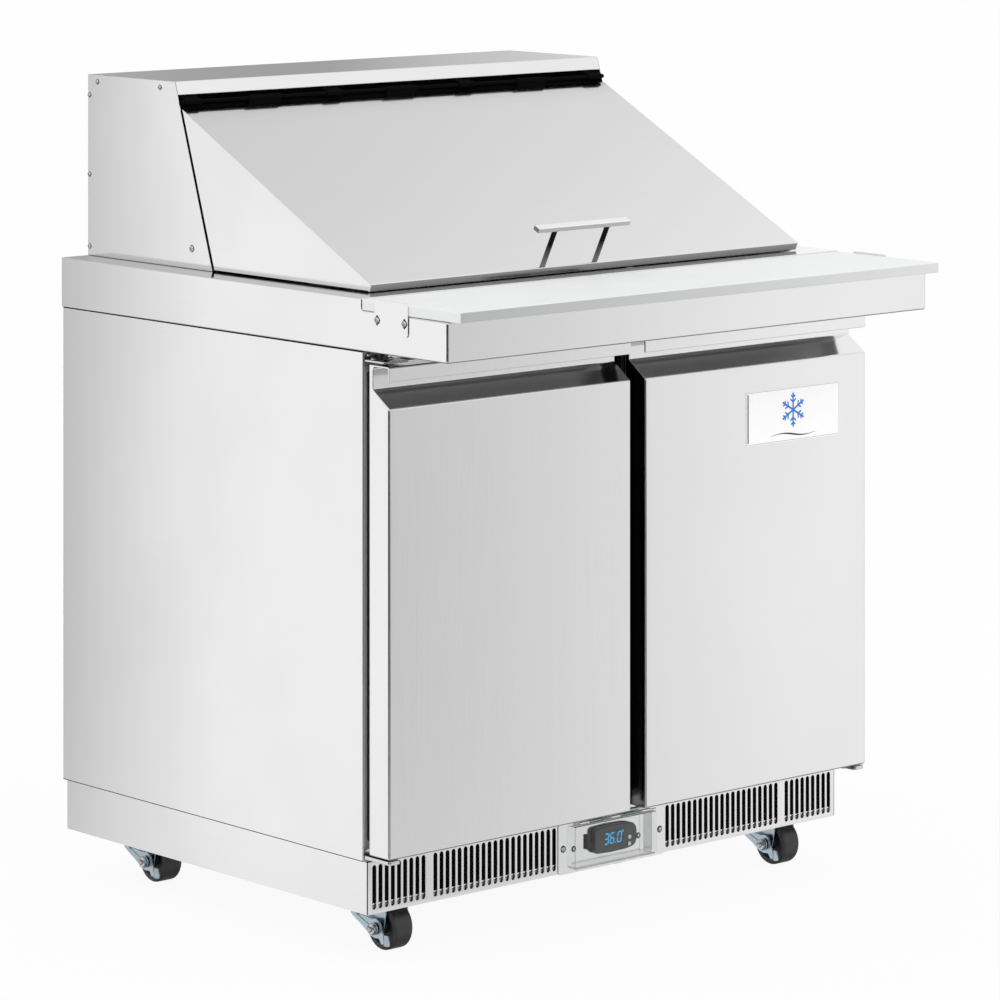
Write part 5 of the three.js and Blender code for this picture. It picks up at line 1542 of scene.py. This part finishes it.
CP = nb("compressor")
cx, cy, z0 = 180, 318, CP[4]
pot = [(0, z0 + 2.4), (60, z0 + 2.4), (70, z0 + 7), (75, z0 + 14), (75.6, z0 + 40), (75.4, z0 + 56), (76, z0 + 57), (76, z0 + 60), (75.2, z0 + 61), (74.6, z0 + 96)]
for k in range(1, 11):
    a = k / 10 * math.pi / 2
    pot.append((74.6 * math.cos(a) if k < 10 else 0, z0 + 96 + 63.5 * math.sin(a)))
pieces = [lathe("pot", pot, "z", (cx, cy), "black_metal", 64, 50)]
pieces.append(prism("feet", fillet([(cx - 92, cy - 58), (cx + 92, cy - 58), (cx + 92, cy + 58), (cx - 92, cy + 58)], 12, 5, closed=True), "z", z0, z0 + 2.6, "black_metal", 0.6, 2))
pieces.append(prism("term", rrect(cy - 23, cy + 23, z0 + 67, z0 + 117, 4, 4), "x", cx + 62, cx + 95.5, "case_dark", 1.6, 2))
for sx_, sy_ in ((-1, -1), (1, -1), (-1, 1), (1, 1)):
    pieces.append(lathe("grommet", [(0, z0 + 2.7), (9, z0 + 2.7), (9, z0 + 6), (7.4, z0 + 7), (9, z0 + 8), (9, z0 + 11), (7, z0 + 12), (0, z0 + 12)], "z", (cx + sx_ * 80, cy + sy_ * 46), "rubber", 28))
pieces.append(tube("suction", [(cx - 70, cy - 20, z0 + 70), (cx - 92, cy - 20, z0 + 70)], 5, "copper", 12))
place(joined("compressor_assembly", pieces), "cabinet", ["compressor"])


def pipe(name, pts, r, bend=14):
    """Copper line with rounded bends through 3D points."""
    P = [Vector(p) for p in pts]
    out = [P[0]]
    for a, b, c in zip(P, P[1:], P[2:]):
        d0, d1 = (a - b), (c - b)
        k = min(bend, d0.length * 0.45, d1.length * 0.45)
        s, e = b + d0.normalized() * k, b + d1.normalized() * k
        for i in range(7):
            t = i / 6
            out.append(s * (1 - t) ** 2 + b * 2 * t * (1 - t) + e * t * t)
    out.append(P[-1])
    return place(tube(name, [tuple(p) for p in out], r, "copper", 12), "cabinet", ())


pipe("discharge_line", [(cx - 40, cy - 62, z0 + 60), (cx - 40, cy - 92, z0 + 60), (-60, cy - 92, z0 + 60), (-60, cy - 60, z0 + 20), (-150, cy - 60, z0 + 20), (-163, cy - 74, z0 + 20)], 3.2)
pipe("suction_line", [(cx - 92, cy - 20, z0 + 70), (cx - 125, cy - 20, z0 + 70), (cx - 125, cy + 40, z0 + 110), (cx - 125, cy + 60, z0 + 240)], 4.8)
dr = lathe("filter_drier", [(0, 0), (3.4, 0), (3.4, 8), (9, 14), (9, 74), (3.4, 82), (3.4, 90), (0, 90)], "z", (0, 0), "copper", 28)
dr.data.transform(Matrix.Translation(Vector((-110, cy + 30, z0 + 24)) * MM) @ Matrix.Rotation(0.35, 4, "Y"))
place(dr, "cabinet", ())

# ------------------------------------------------------------------ stage, light, camera
bm = bmesh.new()
vs = [bm.verts.new(Vector(p)) for p in ((-30, -30, -0.0004), (30, -30, -0.0004), (30, 30, -0.0004), (-30, 30, -0.0004))]
bm.faces.new(vs)
fl = obj_from_bm(bm, "studio_floor", None, None)
fm, nt, bs = new_mat("studio_floor_white")
nt.nodes.remove(bs)
out = next(n for n in nt.nodes if n.type == "OUTPUT_MATERIAL")
dif = nt.nodes.new("ShaderNodeBsdfDiffuse")
n1 = noise(nt, coords(nt, (1, 1, 1)), 2.0, 2, 0.5)
nt.links.new(tint(nt, n1, (0.86, 0.86, 0.86), (0.88, 0.88, 0.88)), dif.inputs[0])
em = nt.nodes.new("ShaderNodeEmission")
em.inputs[0].default_value = (1, 1, 1, 1)
em.inputs[1].default_value = 1.0
lp = nt.nodes.new("ShaderNodeLightPath")
add = nt.nodes.new("ShaderNodeMixShader")
FLOOR_LIFT = 0.93
fac = math_node(nt, "MULTIPLY", lp.outputs["Is Camera Ray"], FLOOR_LIFT)
nt.links.new(fac, add.inputs[0])
nt.links.new(dif.outputs[0], add.inputs[1])
nt.links.new(em.outputs[0], add.inputs[2])
nt.links.new(add.outputs[0], out.inputs[0])
fl.data.materials.append(fm)
fl.visible_glossy = False

# Surroundings seen by the brushed steel: a photographic tent built in the world shader.
world = bpy.data.worlds.new("studio")
SC.world = world
world.use_nodes = True
nt = world.node_tree
nt.nodes.clear()
wout = nt.nodes.new("ShaderNodeOutputWorld")
tc = nt.nodes.new("ShaderNodeTexCoord")
sep = nt.nodes.new("ShaderNodeSeparateXYZ")
nt.links.new(tc.outputs["Generated"], sep.inputs[0])
X, Y, Z = sep.outputs[0], sep.outputs[1], sep.outputs[2]
az = math_node(nt, "MULTIPLY", math_node(nt, "ARCTAN2", X, Y), 180 / math.pi)
el = math_node(nt, "MULTIPLY", math_node(nt, "ARCSINE", Z), 180 / math.pi)


def lin(v):
    v = v / 255
    return v / 12.92 if v <= 0.04045 else ((v + 0.055) / 1.055) ** 2.4


def curve(nt, val, stops):
    """Piecewise-linear value from (position, level) stops."""
    lo, hi = stops[0][0], stops[-1][0]
    u = remap(nt, val, lo, hi, 0, 1)
    r = nt.nodes.new("ShaderNodeValToRGB")
    nt.links.new(u, r.inputs[0])
    e = r.color_ramp.elements
    while len(e) > 1:
        e.remove(e[-1])
    e[0].position = 0
    e[0].color = (stops[0][1],) * 3 + (1,)
    for p, l in stops[1:]:
        n = e.new((p - lo) / (hi - lo))
        n.color = (l, l, l, 1)
    return r.outputs[0]


# Levels by compass direction (degrees from +Y towards +X), one curve per band of elevation.
LOWER = [(-180, 0.92), (-135, 0.88), (-90, 0.95), (-45, 0.9), (0, 0.82), (45, 0.86), (80, 0.95), (100, 0.9), (135, 0.85), (180, 0.92)]
LEVEL_A = [(-180, 0.012), (-142.5, 0.012), (-140.5, 0.8), (-129.5, 0.8), (-127.5, 0.012), (-62, 0.012), (-56, 0.1), (-50, 0.62), (-48, 0.7), (-46, 0.85), (-45, 0.97),
           (-44, 1.07), (-43, 1.13), (-42, 1.15), (-41, 1.12), (-40, 1.06), (-39, 1.14), (-38.2, 1.36), (-37, 1.18), (-36, 0.42), (-35, 0.10), (-30, 0.10), (-15, 0.55)]
HIGH_A = [(-180, 0.95), (-176, 0.9), (-172, 0.012), (-100, 0.012), (-62, 0.012), (-56, 0.1), (-50, 0.62), (-48, 0.7), (-46, 0.85), (-45, 0.97),
           (-44, 1.07), (-43, 1.13), (-42, 1.15), (-41, 1.12), (-40, 1.06), (-39, 1.14), (-38.2, 1.36), (-37, 1.18), (-36, 0.42), (-35, 0.10), (-30, 0.10), (-15, 0.55)]
LEVEL_B = [(-15, 0.55), (0, 0.8), (45, 0.85), (90, 0.9), (118, 0.62), (127, 0.66), (130, 0.82), (132, 1.0), (133, 1.11), (134, 1.165), (135, 1.12), (136, 1.0), (137, 0.865), (138, 0.777), (139, 0.713), (140, 0.655),
           (141, 0.627), (143, 0.62), (146, 0.5), (151, 0.1), (154, 0.012), (180, 0.012)]
HIGH_B = LEVEL_B[:-5] + [(143, 0.656), (145, 0.7), (152, 0.62), (160, 0.55), (172, 0.9), (180, 0.95)]
ABOVE = [(-180, 0.9), (-52, 0.95), (-41, 0.92), (-38.5, 0.80), (-36.5, 0.56), (-33, 0.45), (-28, 0.5), (0, 0.6), (33, 0.50), (36, 0.43), (37.5, 0.40), (39, 0.32), (40.5, 0.52), (42, 0.64), (43.5, 0.78), (45, 0.97), (46.5, 1.2), (49, 1.45), (54, 1.2),
         (70, 0.9), (135, 0.9), (180, 0.9)]
UP = [(-180, 0.9), (-41, 1.0), (0, 0.5), (36, 0.60), (48, 0.66), (56, 0.72), (61, 0.82), (64.5, 0.95), (68, 1.12), (74, 1.05), (90, 1.0), (112, 0.95), (140, 1.06), (165, 0.95), (180, 0.9)]


def blend(w, a, b):
    """a where the weight is 0, b where it is 1."""
    n = nt.nodes.new("ShaderNodeMix")
    n.data_type = "FLOAT"
    nt.links.new(w, n.inputs[0])
    for i, x in ((2, a), (3, b)):
        if isinstance(x, (int, float)):
            n.inputs[i].default_value = x
        else:
            nt.links.new(x, n.inputs[i])
    return n.outputs[0]


level_v = blend(remap(nt, az, -15.01, -14.99, 0, 1), curve(nt, az, LEVEL_A), curve(nt, az, LEVEL_B))
high_v = blend(remap(nt, az, -15.01, -14.99, 0, 1), curve(nt, az, HIGH_A), curve(nt, az, HIGH_B))
low_v = blend(remap(nt, el, -38, -31, 0, 1), 0.26, curve(nt, az, LOWER))
gloss = blend(remap(nt, el, -15.5, -12.8, 0, 1), low_v, level_v)
gloss = blend(remap(nt, el, -8.8, -7.8, 0, 1), gloss, high_v)
gloss = blend(remap(nt, el, -3.6, 1.5, 0, 1), gloss, curve(nt, az, ABOVE))
gloss = blend(remap(nt, el, 17, 22, 0, 1), gloss, curve(nt, az, UP))
lp = nt.nodes.new("ShaderNodeLightPath")
bg_cam, bg_dif, bg_glo = (nt.nodes.new("ShaderNodeBackground") for _ in range(3))
bg_cam.inputs[0].default_value = (1, 1, 1, 1)
bg_cam.inputs[1].default_value = 1.0
bg_dif.inputs[0].default_value = (1, 1, 1, 1)
bg_dif.inputs[1].default_value = 1.0
nt.links.new(gloss, bg_glo.inputs[0])
bg_glo.inputs[1].default_value = 1.0
m1, m2 = nt.nodes.new("ShaderNodeMixShader"), nt.nodes.new("ShaderNodeMixShader")
nt.links.new(lp.outputs["Is Glossy Ray"], m1.inputs[0])
nt.links.new(bg_dif.outputs[0], m1.inputs[1])
nt.links.new(bg_glo.outputs[0], m1.inputs[2])
nt.links.new(lp.outputs["Is Camera Ray"], m2.inputs[0])
nt.links.new(m1.outputs[0], m2.inputs[1])
nt.links.new(bg_cam.outputs[0], m2.inputs[2])
nt.links.new(m2.outputs[0], wout.inputs[0])

la = bpy.data.lights.new("soft_top", "AREA")
la.shape = "RECTANGLE"
la.size, la.size_y = 4.5, 4.5
la.energy = 30
lo = bpy.data.objects.new("soft_top", la)
lo.location = (-1.0, -1.5, 5.0)
lo.rotation_euler = (Vector((0, 0, 0.6)) - lo.location).to_track_quat("-Z", "Y").to_euler()
lo.visible_glossy = False
SC.collection.objects.link(lo)

SC.view_settings.view_transform = "Standard"
SC.view_settings.look = "None"
SC.view_settings.exposure = 0.0
SC.view_settings.gamma = 1.0
SC.render.film_transparent = False

cam = bpy.data.cameras.new("photo_camera")
co_ = bpy.data.objects.new("photo_camera", cam)
SC.collection.objects.link(co_)
co_.location = (-4.5617, -5.1631, 1.6583)
co_.rotation_euler = (math.pi / 2, 0, -0.7240)
cam.sensor_width = 36
cam.lens = 168.925
cam.clip_start, cam.clip_end = 0.1, 100
cam.shift_x = 0.0
cam.shift_y = -0.7508
# The vertical shift belongs to the main view only; from any other place the lens is centred.
spot = bpy.data.objects.new("photo_camera_spot", None)
spot.location = co_.location
SC.collection.objects.link(spot)
drv = cam.driver_add("shift_y")
drv.driver.type = "SUM"
var = drv.driver.variables.new()
var.type = "LOC_DIFF"
var.targets[0].id = co_
var.targets[1].id = spot
for m in list(drv.modifiers):
    drv.modifiers.remove(m)
for dist, v in ((0.0, -0.7508), (0.02, -0.7508), (0.05, 0.0), (100.0, 0.0)):
    drv.keyframe_points.insert(dist, v).interpolation = "LINEAR"
SC.camera = co_
